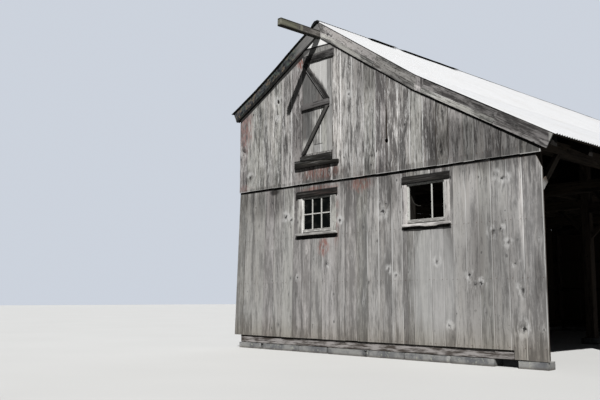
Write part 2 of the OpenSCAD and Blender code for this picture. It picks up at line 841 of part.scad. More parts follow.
// Ledge under the hay door: a timber that tapers towards the lean-to, with a wedge of a plank on top
module hay_door_ledge() {
    x0 = door_x - ledge_w / 2;
    x1 = x0 + ledge_w;
    plank_x0 = door_x - plank_w / 2;
    plank_x1 = plank_x0 + plank_w;
    plank_z1 = door_z0 - ledge_drop;
    z0 = plank_z1 - plank_up - ledge_h;
    thick_end = [x0, z0 + ledge_h];
    thin_end = [x1, z0 + ledge_tip_h];
    color(wood_dark) placed() {
        along_y(-board_t - ledge_out, -board_t) polygon([[x0, z0], [x1, z0], thin_end, thick_end]);
        along_y(-board_t - ledge_out - plank_out, -board_t)
            polygon([[plank_x0, line_z(thick_end, thin_end, plank_x0) - plank_seat],
                [plank_x1, line_z(thick_end, thin_end, plank_x1) - plank_seat],
                [plank_x1, plank_z1], [plank_x0, plank_z1]]);
    }
}

// Casings of width side_w round the window in the middle of x, with a head and a sill that reach past them
module window_surround(x, side_w, reach, sill_out) {
    in_w = sash_w / 2 - casing_lap;
    out_w = in_w + side_w;
    z0 = sash_z + casing_lap;
    z1 = sash_z + sash_h - casing_lap;
    block(x - out_w, x - in_w, -casing_t, 0, z0, z1);
    block(x + in_w, x + out_w, -casing_t, 0, z0, z1);
    block(x - out_w - reach, x + out_w + reach, -head_out, 0, z1, z1 + head_h);
    block(x - out_w - reach, x + out_w + reach, -sill_out, 0, z0 - window_sill_h, z0);
}

// Casings of both windows
module window_casings() {
    color(wood_dark) placed() {
        window_surround(left_window_x, casing_w, horn, window_sill_out);
        window_surround(right_window_x, narrow_casing_w, 0, worn_sill_out);
    }
}

// Opening through the sash whose middle is at x, over some columns and rows of its panes
module light(x, col_0, col_1, row_0, row_1) {
    x0 = x - sash_w / 2 + stile_w;
    block(x0 + col_0 * (pane_w + bar_w), x0 + col_1 * (pane_w + bar_w) + pane_w, -sash_t, 2 * sash_t,
        glass_z + row_0 * (pane_h + bar_w), glass_z + row_1 * (pane_h + bar_w) + pane_h);
}

// Sash whose middle is at x, cut from one block, with a rebate for the glass behind its bars
module sash(x) {
    in_w = sash_w / 2 - stile_w;
    difference() {
        block(x - sash_w / 2, x + sash_w / 2, 0, sash_t, sash_z, sash_z + sash_h);
        block(x - in_w, x + in_w, sash_t / 2, 2 * sash_t, glass_z, sash_z + sash_h - stile_w);
        children();
    }
}

// Left-hand sash with all its bars, and the broken right-hand one with a single upright bar left
module window_sashes() {
    color([0.75, 0.75, 0.72]) placed() {
        sash(left_window_x)
            for (col = [0 : pane_cols - 1]) for (row = [0 : pane_rows - 1])
                light(left_window_x, col, col, row, row);
        sash(right_window_x) {
            light(right_window_x, 0, pane_cols - 2, 0, pane_rows - 1);
            light(right_window_x, pane_cols - 1, pane_cols - 1, 0, pane_rows - 1);
        }
    }
}

// Glass of the left-hand window
module window_glass() {
    color([0.15, 0.17, 0.18]) placed()
        block(left_window_x - sash_w / 2 + stile_w, left_window_x + sash_w / 2 - stile_w,
            sash_t / 2, sash_t / 2 + glass_t, glass_z, sash_z + sash_h - stile_w);
}

foundation_stones();
front_sill();
left_sill();
back_sill();
left_posts();
middle_posts();
right_posts();
left_plate();
middle_plate();
right_plate();
tie_beams();
lean_to_ties();
wall_braces();
frame_braces();
loft_joists();
loft_floor();
wall_girts();
gable_studs();
gable_girts();
ridge_beam();
left_rafters();
right_rafters();
lean_to_rafters();
left_roof_boards();
right_roof_boards();
lean_to_roof_boards();
left_roofing();
right_roof_sheet();
lean_to_roof_sheet();
ridge_cap();
front_lower_siding();
lean_to_siding();
front_upper_siding();
left_lower_siding();
left_upper_siding();
back_lower_siding();
back_upper_siding();
front_rake_boards();
back_rake_boards();
hay_door();
hay_door_header();
hay_door_ledge();
window_casings();
window_sashes();
window_glass();
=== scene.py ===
"""Weathered timber-framed barn with an open-sided lean-to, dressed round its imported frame."""
import math
import random
from functools import cache, reduce

import bpy
import numpy as np
from mathutils import Euler, Matrix, Vector


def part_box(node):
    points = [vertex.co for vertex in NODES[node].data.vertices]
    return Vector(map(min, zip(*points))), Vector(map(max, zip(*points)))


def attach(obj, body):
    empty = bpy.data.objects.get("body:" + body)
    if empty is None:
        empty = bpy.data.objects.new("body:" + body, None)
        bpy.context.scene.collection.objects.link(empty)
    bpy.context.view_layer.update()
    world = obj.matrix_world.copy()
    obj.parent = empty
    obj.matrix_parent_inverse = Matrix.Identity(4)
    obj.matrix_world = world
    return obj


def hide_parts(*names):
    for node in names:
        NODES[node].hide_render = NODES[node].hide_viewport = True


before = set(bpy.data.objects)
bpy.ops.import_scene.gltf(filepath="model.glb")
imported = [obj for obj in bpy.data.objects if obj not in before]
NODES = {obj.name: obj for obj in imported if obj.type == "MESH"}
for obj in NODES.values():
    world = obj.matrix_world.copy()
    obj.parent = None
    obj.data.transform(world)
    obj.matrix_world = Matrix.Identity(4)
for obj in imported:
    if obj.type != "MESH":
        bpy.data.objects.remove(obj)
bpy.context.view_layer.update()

bl_info = {
    "name": "Weathered Barn",
    "version": (1, 0, 0),
    "blender": (4, 5, 0),
    "location": "View3D > Sidebar > Barn",
    "description": "Dresses a timber-framed barn: boards, roofing, timbers, windows and stones",
    "category": "Object",
}

RIGHT, BACK, UP = Vector((1, 0, 0)), Vector((0, 1, 0)), Vector((0, 0, 1))

# Seams between the front boards, along the wall in metres
LOWER_SEAMS = (
    -3.1834, -2.971, -2.706, -2.421, -2.168, -1.918, -1.658, -1.433, -1.198, -0.943, -0.648, -0.433, -0.168,
    0.077, 0.312, 0.587, 0.787, 1.017, 1.327, 1.557, 1.742, 1.957, 2.167, 2.377, 2.632, 2.862, 3.1666,
)
UPPER_SEAMS = (
    -3.1834, -2.970, -2.706, -2.473, -2.188, -1.983, -1.703, -1.433, -0.683, -0.478, -0.218, 0.034,
    0.287, 0.532, 0.757, 0.990, 1.240, 1.472, 1.697, 1.947, 2.137, 2.317, 2.567, 2.857, 3.1666,
)
DOOR_SEAMS = (-1.4284, -1.203, -0.963, -0.813, -0.6884)
TIER_FOOT, TIER_FALL = 2.896, 0.011  # joint between the tiers: its height in the middle, its drop per metre
BOARD_THICK, BOARD_EDGE = 0.021, 0.0022
PLANK_THICK = 0.025  # roof boards
PAST_FOOT, PAST_HEAD = 0.006, 0.02  # how far wall boards pass their node before they are cut to it
GAP_SHARES = (0.6, 0.8, 1.0, 1.4, 2.2)
NAIL_HEAD, NAIL_INSET = 0.0055, 0.04
SHEET_THICK, SHEET_LIFT, SHEET_STACK = 0.0012, 0.003, 0.0016
ROLL_THICK, ROLL_LIFT, ROLL_STACK = 0.004, 0.005, 0.003
# Heights of the girts that the wall boards are nailed to
NAIL_ROWS = (0.27, 1.195, 1.987, 2.83, 2.97, 4.113)
# Openings that age has left in the upper front boards: knot holes by place, height and size, and slits by
# place, foot, head and width
KNOT_HOLES = ((-2.067, 4.545, 0.03), (0.517, 3.405, 0.036))
SLITS = ((0.517, 3.448, 3.99, 0.017), (0.512, 2.95, 3.3, 0.008), (-0.676, 3.5, 3.86, 0.014))
# The front of the left slope hangs: how far, how far round that shows, and where it is deepest (X and Z)
SAG_DEEP, SAG_REACH, SAG_X, SAG_Z = 0.045, 1.45, -2.5, 4.93
# Strength of the sky as light, as fill from the back left, and as seen by the camera
SKY_LIGHT, SKY_FILL, SKY_SEEN = 0.055, 1.1, 0.72


def length(name, description, default, low, high):
    return bpy.props.FloatProperty(name=name, description=description, default=default, min=low, max=high,
                                   unit="LENGTH", subtype="DISTANCE")


def colour(name, description, default):
    return bpy.props.FloatVectorProperty(name=name, description=description, default=default, min=0, max=1,
                                         size=3, subtype="COLOR")


class BarnSidingSettings(bpy.types.PropertyGroup):
    """Sizes of the wall boards"""

    gap: length("Gap", "Gap between two wall boards", 0.005, 0.001, 0.012)
    board_width: length("Board Width", "Usual width of a wall board", 0.225, 0.12, 0.35)
    proud: length("Warp", "How far a warped board stands proud of its neighbours", 0.008, 0.0, 0.01)
    flare: length("Flare", "How far the foot of the left front corner has spread outwards", 0.13, 0.0, 0.15)


class BarnRoofSettings(bpy.types.PropertyGroup):
    """Sizes of the roofing"""

    waves: bpy.props.IntProperty(
        name="Waves", description="Waves across one corrugated sheet", default=10, min=6, max=12)
    wave_pitch: length("Wave Pitch", "Distance from crest to crest of the sheets", 0.068, 0.05, 0.08)
    wave_height: length("Wave Height", "Depth of the waves", 0.017, 0.01, 0.018)
    cap_length: length("Cap Length", "Length of one piece of ridge cap", 2.1, 1.0, 3.0)


class BarnFinishSettings(bpy.types.PropertyGroup):
    """Colours of the finishes"""

    pale_grain: colour("Pale Grain", "Palest grain of the weathered boards", (0.49, 0.487, 0.48))
    dark_grain: colour("Dark Grain", "Darkest grain of the weathered boards", (0.12, 0.117, 0.115))
    old_paint: colour("Old Paint", "What is left of the red paint", (0.24, 0.07, 0.045))
    sheet_white: colour("Sheet White", "Paint of the corrugated sheets", (0.585, 0.59, 0.6))


def leave():
    bpy.ops.object.mode_set(mode="OBJECT")


def take(*objects):
    """Selects only these objects, the last one active."""
    if bpy.context.mode != "OBJECT":
        leave()
    bpy.ops.object.select_all(action="DESELECT")
    for o in objects:
        o.select_set(True)
        bpy.context.view_layer.objects.active = o


def points(obj):
    """The places of the vertices, as rows of x, y, z."""
    co = np.zeros(len(obj.data.vertices) * 3)
    obj.data.vertices.foreach_get("co", co)
    return co.reshape(-1, 3)


def pick(obj, mask):
    """Selects the vertices of the mask and goes into edit mode."""
    take(obj)
    for parts in (obj.data.polygons, obj.data.edges):
        parts.foreach_set("select", np.zeros(len(parts), bool))
    obj.data.vertices.foreach_set("select", np.array(mask, bool))
    bpy.ops.object.mode_set(mode="EDIT")
    bpy.ops.mesh.select_mode(type="VERT")


def shift(obj, mask, by, **falloff):
    """Moves the vertices of the mask."""
    pick(obj, mask)
    bpy.ops.transform.translate(value=by, **falloff)
    leave()


def edit(obj):
    """Goes into edit mode with the whole mesh selected."""
    take(obj)
    bpy.ops.object.mode_set(mode="EDIT")
    bpy.ops.mesh.select_mode(type="VERT")
    bpy.ops.mesh.select_all(action="SELECT")


def apply(obj, kind, **settings):
    """Adds a modifier with these settings and applies it."""
    take(obj)
    modifier = obj.modifiers.new(kind.lower(), kind)
    for key, value in settings.items():
        setattr(modifier, key, value)
    bpy.ops.object.modifier_apply(modifier=modifier.name)


def slice_up(obj, axis, step, low=None, high=None):
    """Cuts edge loops across the mesh every step along an axis."""
    co = points(obj)
    low = co[:, axis].min() if low is None else low
    high = co[:, axis].max() if high is None else high
    count = max(1, round((high - low) / step))
    edit(obj)
    for k in range(1, count):
        place, normal = [0, 0, 0], [0, 0, 0]
        place[axis], normal[axis] = low + (high - low) * k / count, 1
        bpy.ops.mesh.select_all(action="SELECT")
        bpy.ops.mesh.bisect(plane_co=place, plane_no=normal)
    leave()


def sized(x, y, z):
    return Matrix.Diagonal((x, y, z, 1))


def turned(*axes):
    """The matrix that turns X, Y and Z to these three directions."""
    return Matrix(axes).transposed().to_4x4()


def cube(name, low, high):
    """A block between two corners."""
    low, high = Vector(low), Vector(high)
    take()
    bpy.ops.mesh.primitive_cube_add(size=1)
    obj = bpy.context.object
    obj.name = obj.data.name = name
    obj.data.transform(Matrix.Translation((low + high) / 2) @ sized(*(high - low)))
    return obj


def cad_copy(node, name):
    """A merged copy of a CAD node's mesh, with flat faces made whole."""
    obj = bpy.data.objects.new(name, NODES[node].data.copy())
    obj.data.name = name
    obj.data.materials.clear()
    bpy.context.scene.collection.objects.link(obj)
    edit(obj)
    bpy.ops.mesh.remove_doubles(threshold=0.0002)
    bpy.ops.mesh.dissolve_limited(angle_limit=math.radians(0.5))
    leave()
    for name in [a.name for a in obj.data.attributes if a.name.startswith("custom_normal")]:
        obj.data.attributes.remove(obj.data.attributes[name])
    return obj


def join(name, objects):
    take(*objects)
    if len(objects) > 1:
        bpy.ops.object.join()
    obj = bpy.context.object
    obj.name = obj.data.name = name
    return obj


def remove(obj):
    mesh = obj.data
    bpy.data.objects.remove(obj)
    bpy.data.meshes.remove(mesh)


def stamped(name, master, places):
    """One piece out of copies of the master, each with its own mesh, one for each placing matrix."""
    copies = []
    for matrix in places:
        copy = bpy.data.objects.new(name, master.data.copy())
        bpy.context.scene.collection.objects.link(copy)
        copy.data.transform(matrix)
        copies.append(copy)
    return join(name, copies)


def master_board(cuts):
    """A board one metre each way: cut along its length, and once across for its cupping."""
    board = cube("master_board", (-0.5, -0.5, -0.5), (0.5, 0.5, 0.5))
    slice_up(board, 2, 1 / (cuts + 1))
    slice_up(board, 0, 0.5)
    return board


def span(a, b, width, depth, face=-BACK):
    """Placing matrix for a board from one point to another, its broad side towards face."""
    a, b = Vector(a), Vector(b)
    along = (b - a).normalized()
    side = face.cross(along).normalized()
    turn = turned(side, along.cross(side), along)
    return Matrix.Translation((a + b) / 2) @ turn @ sized(width, depth, (b - a).length)


def block(low, high, axis):
    """Placing matrix for a board that fills a box and runs along X (axis 0) or Z (axis 2)."""
    low, high = Vector(low), Vector(high)
    size = high - low
    a = (low + high) / 2
    b = a.copy()
    a[axis], b[axis] = low[axis], high[axis]
    return span(a, b, size[2 - axis], size.y)


def roughen(obj, amount, seed):
    """Moves every point a little, as in hand-cut or weathered wood."""
    edit(obj)
    bpy.ops.transform.vertex_random(offset=amount, uniform=0.0, normal=0.0, seed=seed)
    leave()


def smooth(obj, angle=40):
    """Shades the edges that are blunter than the angle smooth."""
    take(obj)
    bpy.ops.object.shade_smooth_by_angle(angle=math.radians(angle))


def soften(obj, width, segments=1):
    """Rounds the sharp edges, then shades the rest smooth."""
    apply(obj, "BEVEL", width=width, segments=segments, limit_method="ANGLE",
          angle_limit=math.radians(40), harden_normals=False, use_clamp_overlap=True)
    smooth(obj, 35)


def cut(obj, cutter, operation="INTERSECT", crossing=False):
    """Keeps what of a piece is inside the cutter, or else outside it, and removes the cutter."""
    apply(obj, "BOOLEAN", operation=operation, object=cutter, solver="EXACT", use_self=crossing)
    remove(cutter)
    if not obj.data.vertices:
        raise RuntimeError("nothing is left of " + obj.name)


def keep_inside(obj, node, axis, crossing=False):
    """Cuts the boards to the outline of a CAD node, which is stretched through the wall first."""
    reach = 0.3
    cutter = cad_copy(node, "cutter")
    co = points(cutter)
    middle = (co[:, axis].min() + co[:, axis].max()) / 2
    thick = co[:, axis].max() - co[:, axis].min()
    co[:, axis] = middle + (co[:, axis] - middle) * (thick + 2 * reach) / thick
    cutter.data.vertices.foreach_set("co", co.ravel())
    cutter.data.update()
    cut(obj, cutter, crossing=crossing)


def islands(mesh):
    """For each vertex the number of the loose part it belongs to."""
    edges = np.zeros(len(mesh.edges) * 2, int)
    mesh.edges.foreach_get("vertices", edges)
    a, b = edges.reshape(-1, 2).T
    label = np.arange(len(mesh.vertices))
    while True:
        low = np.minimum(label[a], label[b])
        new = label.copy()
        np.minimum.at(new, a, low)
        np.minimum.at(new, b, low)
        new = new[new]
        if (new == label).all():
            return np.unique(label, return_inverse=True)[1]
        label = new


def lay_grain(obj, seed, along=None, out=None):
    """Gives each loose part its own grain, in metres across, through and along it, and its own board
    values: a tone, the place across it from edge to edge, and 1 on the side that faces out to the weather.
    Without a direction the grain follows the part's longest side."""
    mesh = obj.data
    co = points(obj)
    part = islands(mesh)
    rng = np.random.default_rng(seed)
    normals = np.zeros(co.size)
    mesh.vertex_normals.foreach_get("vector", normals)
    facing = np.ones(len(co)) if out is None else normals.reshape(-1, 3) @ np.array(out) > 0
    grain, board = np.zeros_like(co), np.ones_like(co)
    for k in range(part.max() + 1):
        mine = part == k
        spot = co[mine] - co[mine].mean(0)
        if along is None:
            axes = np.linalg.svd(spot, full_matrices=False)[2][[1, 2, 0]]
        else:
            run = np.array(along.normalized())
            side = np.cross((0.0, 1.0, 0.0) if abs(run[1]) < 0.9 else (1.0, 0.0, 0.0), run)
            if out is not None:
                side = np.cross(-np.array(out), run)
            side /= np.linalg.norm(side)
            axes = np.array([side, np.cross(run, side), run])
        local = spot @ axes.T
        grain[mine] = local + rng.uniform(-20, 20, 3)
        board[mine, 0] = rng.random()
        board[mine, 1] = local[:, 0] / max(abs(local[:, 0]).max(), 1e-6)
    board[:, 2] = facing
    for name, rows in (("grain", grain), ("board", board)):
        mesh.attributes.new(name, "FLOAT_VECTOR", "POINT").data.foreach_set("vector", rows.ravel())


def clothe(obj, finish, nodes=()):
    """Gives a piece its finish, seats it on the barn, and lets it stand for its CAD nodes."""
    obj.data.materials.clear()
    obj.data.materials.append(material(finish))
    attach(obj, "root")
    if nodes:
        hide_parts(*nodes)


def dress(obj, finish, nodes, seed, edge, rough=0.0, segments=1, along=None, out=None):
    """Roughens a wooden piece, rounds its edges, lays its grain and clothes it."""
    if rough:
        roughen(obj, rough, seed)
    soften(obj, edge, segments)
    lay_grain(obj, seed, along, out)
    clothe(obj, finish, nodes)


def slope(node):
    """Top plane of a roof node: its highest point at the ridge side, the downhill direction, the direction
    square to it, its length, and where it starts and ends along the ridge."""
    low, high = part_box(node)
    mesh = NODES[node].data
    face = max((face for face in mesh.polygons if face.normal.z > 0.3), key=lambda face: face.area)
    spot = mesh.vertices[face.vertices[0]].co
    normal = Vector((face.normal.x, 0, face.normal.z)).normalized()
    sign = 1 if normal.x > 0 else -1
    downhill = Vector((normal.z * sign, 0, -abs(normal.x)))
    top_x = low.x if sign > 0 else high.x
    top = Vector((top_x, 0, spot.z + (spot.x - top_x) * normal.x / normal.z))
    return top, downhill, normal, (high.x - low.x) / abs(downhill.x), low.y, high.y


def maths(operation, swapped=False):
    """A method that joins its values in a maths node."""
    def method(self, *others):
        values = (*others, self) if swapped else (self, *others)
        return self.finish.node("ShaderNodeMath", {"operation": operation}, dict(enumerate(values)))
    return method


class Val:
    """A socket that sums, products and masks can be written with."""

    def __init__(self, finish, socket):
        self.finish, self.socket = finish, socket

    __add__, __radd__ = maths("ADD"), maths("ADD", True)
    __sub__, __rsub__ = maths("SUBTRACT"), maths("SUBTRACT", True)
    __mul__, __rmul__ = maths("MULTIPLY"), maths("MULTIPLY", True)
    __truediv__, __pow__ = maths("DIVIDE"), maths("POWER")
    __gt__, __lt__ = maths("GREATER_THAN"), maths("LESS_THAN")
    most, least, size, fraction = maths("MAXIMUM"), maths("MINIMUM"), maths("ABSOLUTE"), maths("FRACT")


class Finish:
    """A material while it is wired up. Colours are laid one over the other on its colour."""

    def __init__(self, name):
        settings = bpy.context.scene.barn_finish
        self.dark, self.pale = np.array(settings.dark_grain), np.array(settings.pale_grain)
        self.material = bpy.data.materials.new(name)
        self.material.use_nodes = True
        self.tree = self.material.node_tree
        self.tree.nodes.clear()
        self.shader = self.tree.nodes.new("ShaderNodeBsdfPrincipled")
        output = self.tree.nodes.new("ShaderNodeOutputMaterial")
        self.tree.links.new(self.shader.outputs[0], output.inputs["Surface"])
        self.place = self.node("ShaderNodeTexCoord", out="Object")
        self.x, self.y, self.z = self.split(self.place)

    def plug(self, socket, value):
        if isinstance(value, Val):
            self.tree.links.new(value.socket, socket)
        else:
            socket.default_value = value

    def node(self, kind, settings=None, inputs=None, out=0):
        """Adds a node: its settings first, then the values or links of its sockets."""
        made = self.tree.nodes.new(kind)
        for key, value in (settings or {}).items():
            setattr(made, key, value)
        for key, value in (inputs or {}).items():
            self.plug(made.inputs[key], value)
        return Val(self, made.outputs[out])

    def vector(self, operation, a, b=(0, 0, 0), out="Vector"):
        return self.node("ShaderNodeVectorMath", {"operation": operation}, {0: a, 1: b}, out)

    def split(self, vector):
        """The three parts of a vector."""
        outputs = self.node("ShaderNodeSeparateXYZ", {}, {0: vector}).socket.node.outputs
        return [Val(self, socket) for socket in outputs]

    def scaled(self, vector, scale, offset=(0, 0, 0)):
        return self.node("ShaderNodeMapping", {}, {"Vector": vector, "Scale": scale, "Location": offset})

    def noise(self, vector, scale, detail=2.0, rough=0.5, offset=(0, 0, 0)):
        """Noise at one scale, or at three scales with an offset."""
        if isinstance(scale, tuple):
            vector, scale = self.scaled(vector, scale, offset), 1.0
        return self.node("ShaderNodeTexNoise", {}, {
            "Vector": vector, "Scale": scale, "Detail": detail, "Roughness": rough})

    def band(self, value, low, high, start=0.0, end=1.0):
        """A smooth step of a value between low and high."""
        return self.node("ShaderNodeMapRange", {"interpolation_type": "SMOOTHSTEP"}, {
            "Value": value, "From Min": low, "From Max": high, "To Min": start, "To Max": end})

    def fade(self, value, low, high):
        return self.band(value, low, high, 1.0, 0.0)

    def between(self, value, low, high, edge=0.01):
        """1 where a value lies between low and high, with soft edges."""
        return self.band(value, low - edge, low + edge) * self.fade(value, high - edge, high + edge)

    def spot(self, centre, radii, edge=0.3, wobble=0.0):
        """A soft-edged patch round a place on the object: 1 inside, 0 outside."""
        away = self.vector("DIVIDE", self.vector("SUBTRACT", self.place, centre), radii)
        return self.fade(self.vector("LENGTH", away, out="Value") + wobble, 1 - edge, 1 + edge)

    def mix(self, share, first, second, mode="MIX"):
        """Mixes two colours, of which a bare number is a grey."""
        ends = [v if isinstance(v, Val) else (*np.broadcast_to(v, 3), 1) for v in (first, second)]
        return self.node("ShaderNodeMix", {"data_type": "RGBA", "blend_type": mode},
                         {"Factor": share, 6: ends[0], 7: ends[1]}, 2)

    def lay(self, share, over, mode="MIX"):
        self.colour = self.mix(share, self.colour, over, mode)

    def give(self, rough, bump, strength, depth, **fixed):
        """Connects what varies, and sets what doesn't on the shader's own sockets."""
        if bump is not None:
            fixed["Normal"] = self.node("ShaderNodeBump", {}, {
                "Strength": strength, "Distance": depth, "Height": bump})
        for key, value in {"Base Color": self.colour, "Roughness": rough, **fixed}.items():
            self.plug(self.shader.inputs[key.replace("_", " ")], value)
        return self.material


FRONT_Y = -5.68  # the face of the front wall, where its knots and stains are


def grow_wood(f, knots=True, known=()):
    """What all the woods share: grain streaks from fine to broad, cracks, knots and the board's own values.
    The grain bends round the knots: those at known places on the wall, and those that chance gives."""
    grain, board = (f.node("ShaderNodeAttribute", {"attribute_name": name}, out="Vector")
                    for name in ("grain", "board"))
    f.grain = grain
    f.tone, f.rim, f.weather = f.split(board)
    across, through, along = f.split(grain)
    across = across + (f.noise(grain, (2.5, 2.5, 0.8), 1.0) - 0.5) * 0.022
    reaches = []
    for x, z, size in known:
        away = f.vector("DISTANCE", f.place, (x, FRONT_Y, z), "Value")
        across = across - (f.x - x) * f.band(away, 0.0, size * 4.5, 0.8, 0.0)
        reaches.append(away / size)
    f.nearest = reduce(Val.least, reaches) if reaches else None
    if knots:
        wide, tall = 4.4, 1.7
        field = f.scaled(grain, (wide, wide, tall), (0.3, 0.1, 0.7))
        middle, chance = (f.node("ShaderNodeTexVoronoi", {}, {"Vector": field, "Scale": 1.0}, out)
                          for out in ("Position", "Color"))
        side, _, up = f.split(f.vector("SUBTRACT", field, middle))
        side, up = side / wide, up / tall
        often, large, fair = f.split(chance)
        reach = (side * side + up * up * 0.5) ** 0.5
        there = often > 0.66
        radius = large * 0.013 + 0.006 + (f.noise(grain, 60.0, 3.0) - 0.5) * 0.03
        across = across - side * (f.fade(reach, 0.0, 0.12) * there) * 0.75
        f.knot = f.fade(reach / radius, 0.5, 1.4) * there
        f.halo = f.fade(reach, 0.01, 0.06) * there
        f.pale_halo = fair > 0.45
    f.flow = flow = f.node("ShaderNodeCombineXYZ", {}, {0: across, 1: through, 2: along})
    f.fine = f.noise(flow, (190, 190, 7.0), 3.0, 0.65)
    f.streak = f.noise(flow, (32, 32, 1.7), 4.0, 0.62)
    f.broad = f.noise(flow, (10, 10, 1.2))
    crack = f.noise(flow, (30, 30, 0.5), 1.0, offset=(3.1, 7.7, 1.3))
    where = f.band(f.noise(flow, (9, 9, 0.8), offset=(5, 1, 9)), 0.5, 0.6)
    f.checks = f.fade((crack - 0.5).size(), 0.0, 0.02) * where


def old_wood(name, dark=1.0, pale=1.0, warm=(0.25, 0.21, 0.165), warmth=0.2, marks=None, contrast=1.0,
             variety=0.55, inside=None, known=()):
    """Weathered timber. dark and pale are colours, or shares of the barn's dark and pale grain.
    marks(f) may lay stains, paint, painted shade or painted highlights over it."""
    f = Finish(name)
    grow_wood(f, known=known)
    dark, pale = (np.array(v) if np.ndim(v) else v * grain for v, grain in ((dark, f.dark), (pale, f.pale)))
    f.cloud = f.noise(f.grain, (6, 6, 2.6), 5.0, 0.66)
    f.sway = f.cloud - 0.5
    mottle = f.noise(f.grain, (26, 26, 9), 4.0, 0.7, (2, 5, 1))
    shade = f.sway * 0.9 + (mottle - 0.5) + (f.streak - 0.5) * 1.6 + (f.fine - 0.5) * 1.1
    shade = shade + (f.broad - 0.5) * 1.9
    f.colour = f.mix(f.band(shade * contrast + (f.tone - 0.5) * variety + 0.5, 0.0, 1.0), dark, pale)
    hue = (f.tone * 7.3).fraction()
    f.lay(1.0, f.mix(hue, (1.03, 0.985, 0.985), (0.985, 1.0, 0.965)), "MULTIPLY")
    f.lay(f.band(f.broad + hue * 0.2, 0.55, 0.8) * warmth, warm)
    ring = f.halo * f.band(f.streak, 0.35, 0.6)
    f.lay(ring * f.pale_halo * 0.35, pale * 1.15)
    f.lay(ring * (1 - f.pale_halo) * 0.6, dark * 0.8)
    speck = f.band(f.noise(f.grain, (60, 60, 20), offset=(9, 2, 4)), 0.66, 0.73)
    dash = f.band(f.noise(f.flow, (42, 42, 3.4), 2.0, 0.6, (6, 1, 8)), 0.61, 0.66)
    f.lay(speck.most(dash) * 0.6, dark * 0.55)
    gleam = f.band(f.noise(f.flow, (50, 50, 2.6), 2.0, 0.6, (2, 8, 5)), 0.61, 0.67)
    f.lay(gleam * 0.45, pale * 1.35)
    f.lay(f.band(f.rim.size(), 0.9, 1.0) * 0.5 * (f.tone < 0.4), dark * 0.6)
    # Partly paler worn wood, partly a painted highlight: a pale line along the right-hand edge of some
    # boards, where the sun from the right catches it
    stretch = f.band(f.noise(f.grain, (2, 2, 1.1), offset=(3, 3, 3)), 0.4, 0.5)
    f.lay(f.band(f.rim, 0.86, 0.92) * (hue > 0.3) * stretch * 0.85, pale * 1.6)
    f.lay((f.knot * 0.85).most(f.checks * 0.75), dark * 0.2)
    if marks:
        marks(f)
    if inside:
        brown = f.mix(f.streak, inside, np.array(inside) * 1.9)
        f.colour = f.mix(f.weather, brown, f.colour)
    height = f.fine * 0.45 + f.streak * 0.75 - f.checks * 0.9 - f.knot * 0.3
    return f.give(f.band(f.streak, 0.3, 0.7, 0.92, 0.78), height, 0.4, 0.004, Specular_IOR_Level=0.25)


# Red paint that is left: place, reach and strength of each patch
PAINT = (
    ((-1.46, -5.69, 5.13), (0.10, 0.2, 0.08), 0.8), ((-3.0, -5.69, 4.12), (0.18, 0.2, 0.38), 0.75),
    ((-1.0, -5.69, 3.06), (0.45, 0.2, 0.10), 0.5), ((-3.05, -5.69, 3.0), (0.2, 0.2, 0.07), 0.5),
    ((-0.05, -5.67, 2.79), (0.22, 0.2, 0.12), 0.6), ((-0.93, -5.67, 1.79), (0.12, 0.2, 0.13), 0.7),
    ((-1.0, -5.67, 2.80), (0.4, 0.2, 0.05), 0.5), ((-0.62, -5.67, 2.2), (0.06, 0.2, 0.45), 0.35),
)
# Darker and paler patches of the front: place and height, reach both ways, share of the colour kept
TONES = (
    (2.35, 3.15, 0.95, 0.42, 0.38), (1.55, 3.5, 0.35, 0.4, 0.7), (-1.52, 3.6, 0.16, 0.6, 0.6),
    (-1.62, 4.75, 0.22, 0.3, 0.72), (-2.45, 2.66, 0.55, 0.3, 0.6), (-0.2, 2.95, 0.9, 0.16, 0.7),
    (0.1, 4.7, 0.30, 0.5, 0.6), (-0.57, 4.2, 0.13, 1.1, 1.4), (0.62, 3.75, 0.16, 0.6, 1.4),
    (-0.27, 1.4, 0.14, 1.0, 1.25), (-1.35, 1.1, 0.10, 0.75, 1.35), (2.3, 1.3, 0.5, 0.95, 0.72),
    (-2.65, 1.7, 0.25, 0.9, 0.92), (-0.6, 1.4, 0.10, 0.9, 0.85), (-1.1, 3.05, 0.65, 0.12, 0.85),
    (-2.19, 2.85, 0.12, 0.06, 0.15), (-2.9, 3.22, 0.10, 0.14, 0.55), (-1.87, 3.7, 0.07, 0.16, 0.5),
    (-2.15, 4.1, 0.10, 0.6, 1.3), (0.6, 2.55, 0.08, 0.25, 0.6), (-1.74, 2.5, 0.12, 0.5, 1.15),
    (2.15, 1.65, 0.10, 0.6, 0.8), (3.05, 1.2, 0.05, 0.35, 0.6), (2.84, 2.2, 0.05, 0.55, 1.4),
)
# Knots that stand out: along the front and height, both in metres, then their size
KNOTS = (
    (-2.067, 4.545, 0.03), (-2.09, 4.23, 0.022), (-3.06, 3.73, 0.035), (-2.87, 3.2, 0.03),
    (-0.29, 4.33, 0.02), (-0.27, 4.83, 0.022), (-1.87, 2.37, 0.03), (-1.73, 2.3, 0.022),
    (-1.63, 2.51, 0.02), (-0.53, 2.21, 0.025), (-0.84, 1.495, 0.025), (-1.56, 1.28, 0.02),
    (0.357, 2.42, 0.022), (0.467, 2.4, 0.022), (0.39, 2.28, 0.035), (0.5, 1.37, 0.02),
    (0.65, 1.28, 0.02), (2.46, 2.64, 0.02), (2.56, 2.57, 0.022), (2.63, 2.58, 0.02),
    (2.39, 1.845, 0.025), (2.51, 1.87, 0.025), (2.62, 1.68, 0.022), (2.72, 1.4, 0.02),
    (2.82, 1.03, 0.03), (1.99, 1.245, 0.022), (2.08, 1.12, 0.025), (2.18, 1.135, 0.022),
    (1.63, 0.53, 0.022), (2.81, 0.52, 0.035), (1.43, 1.46, 0.022),
)


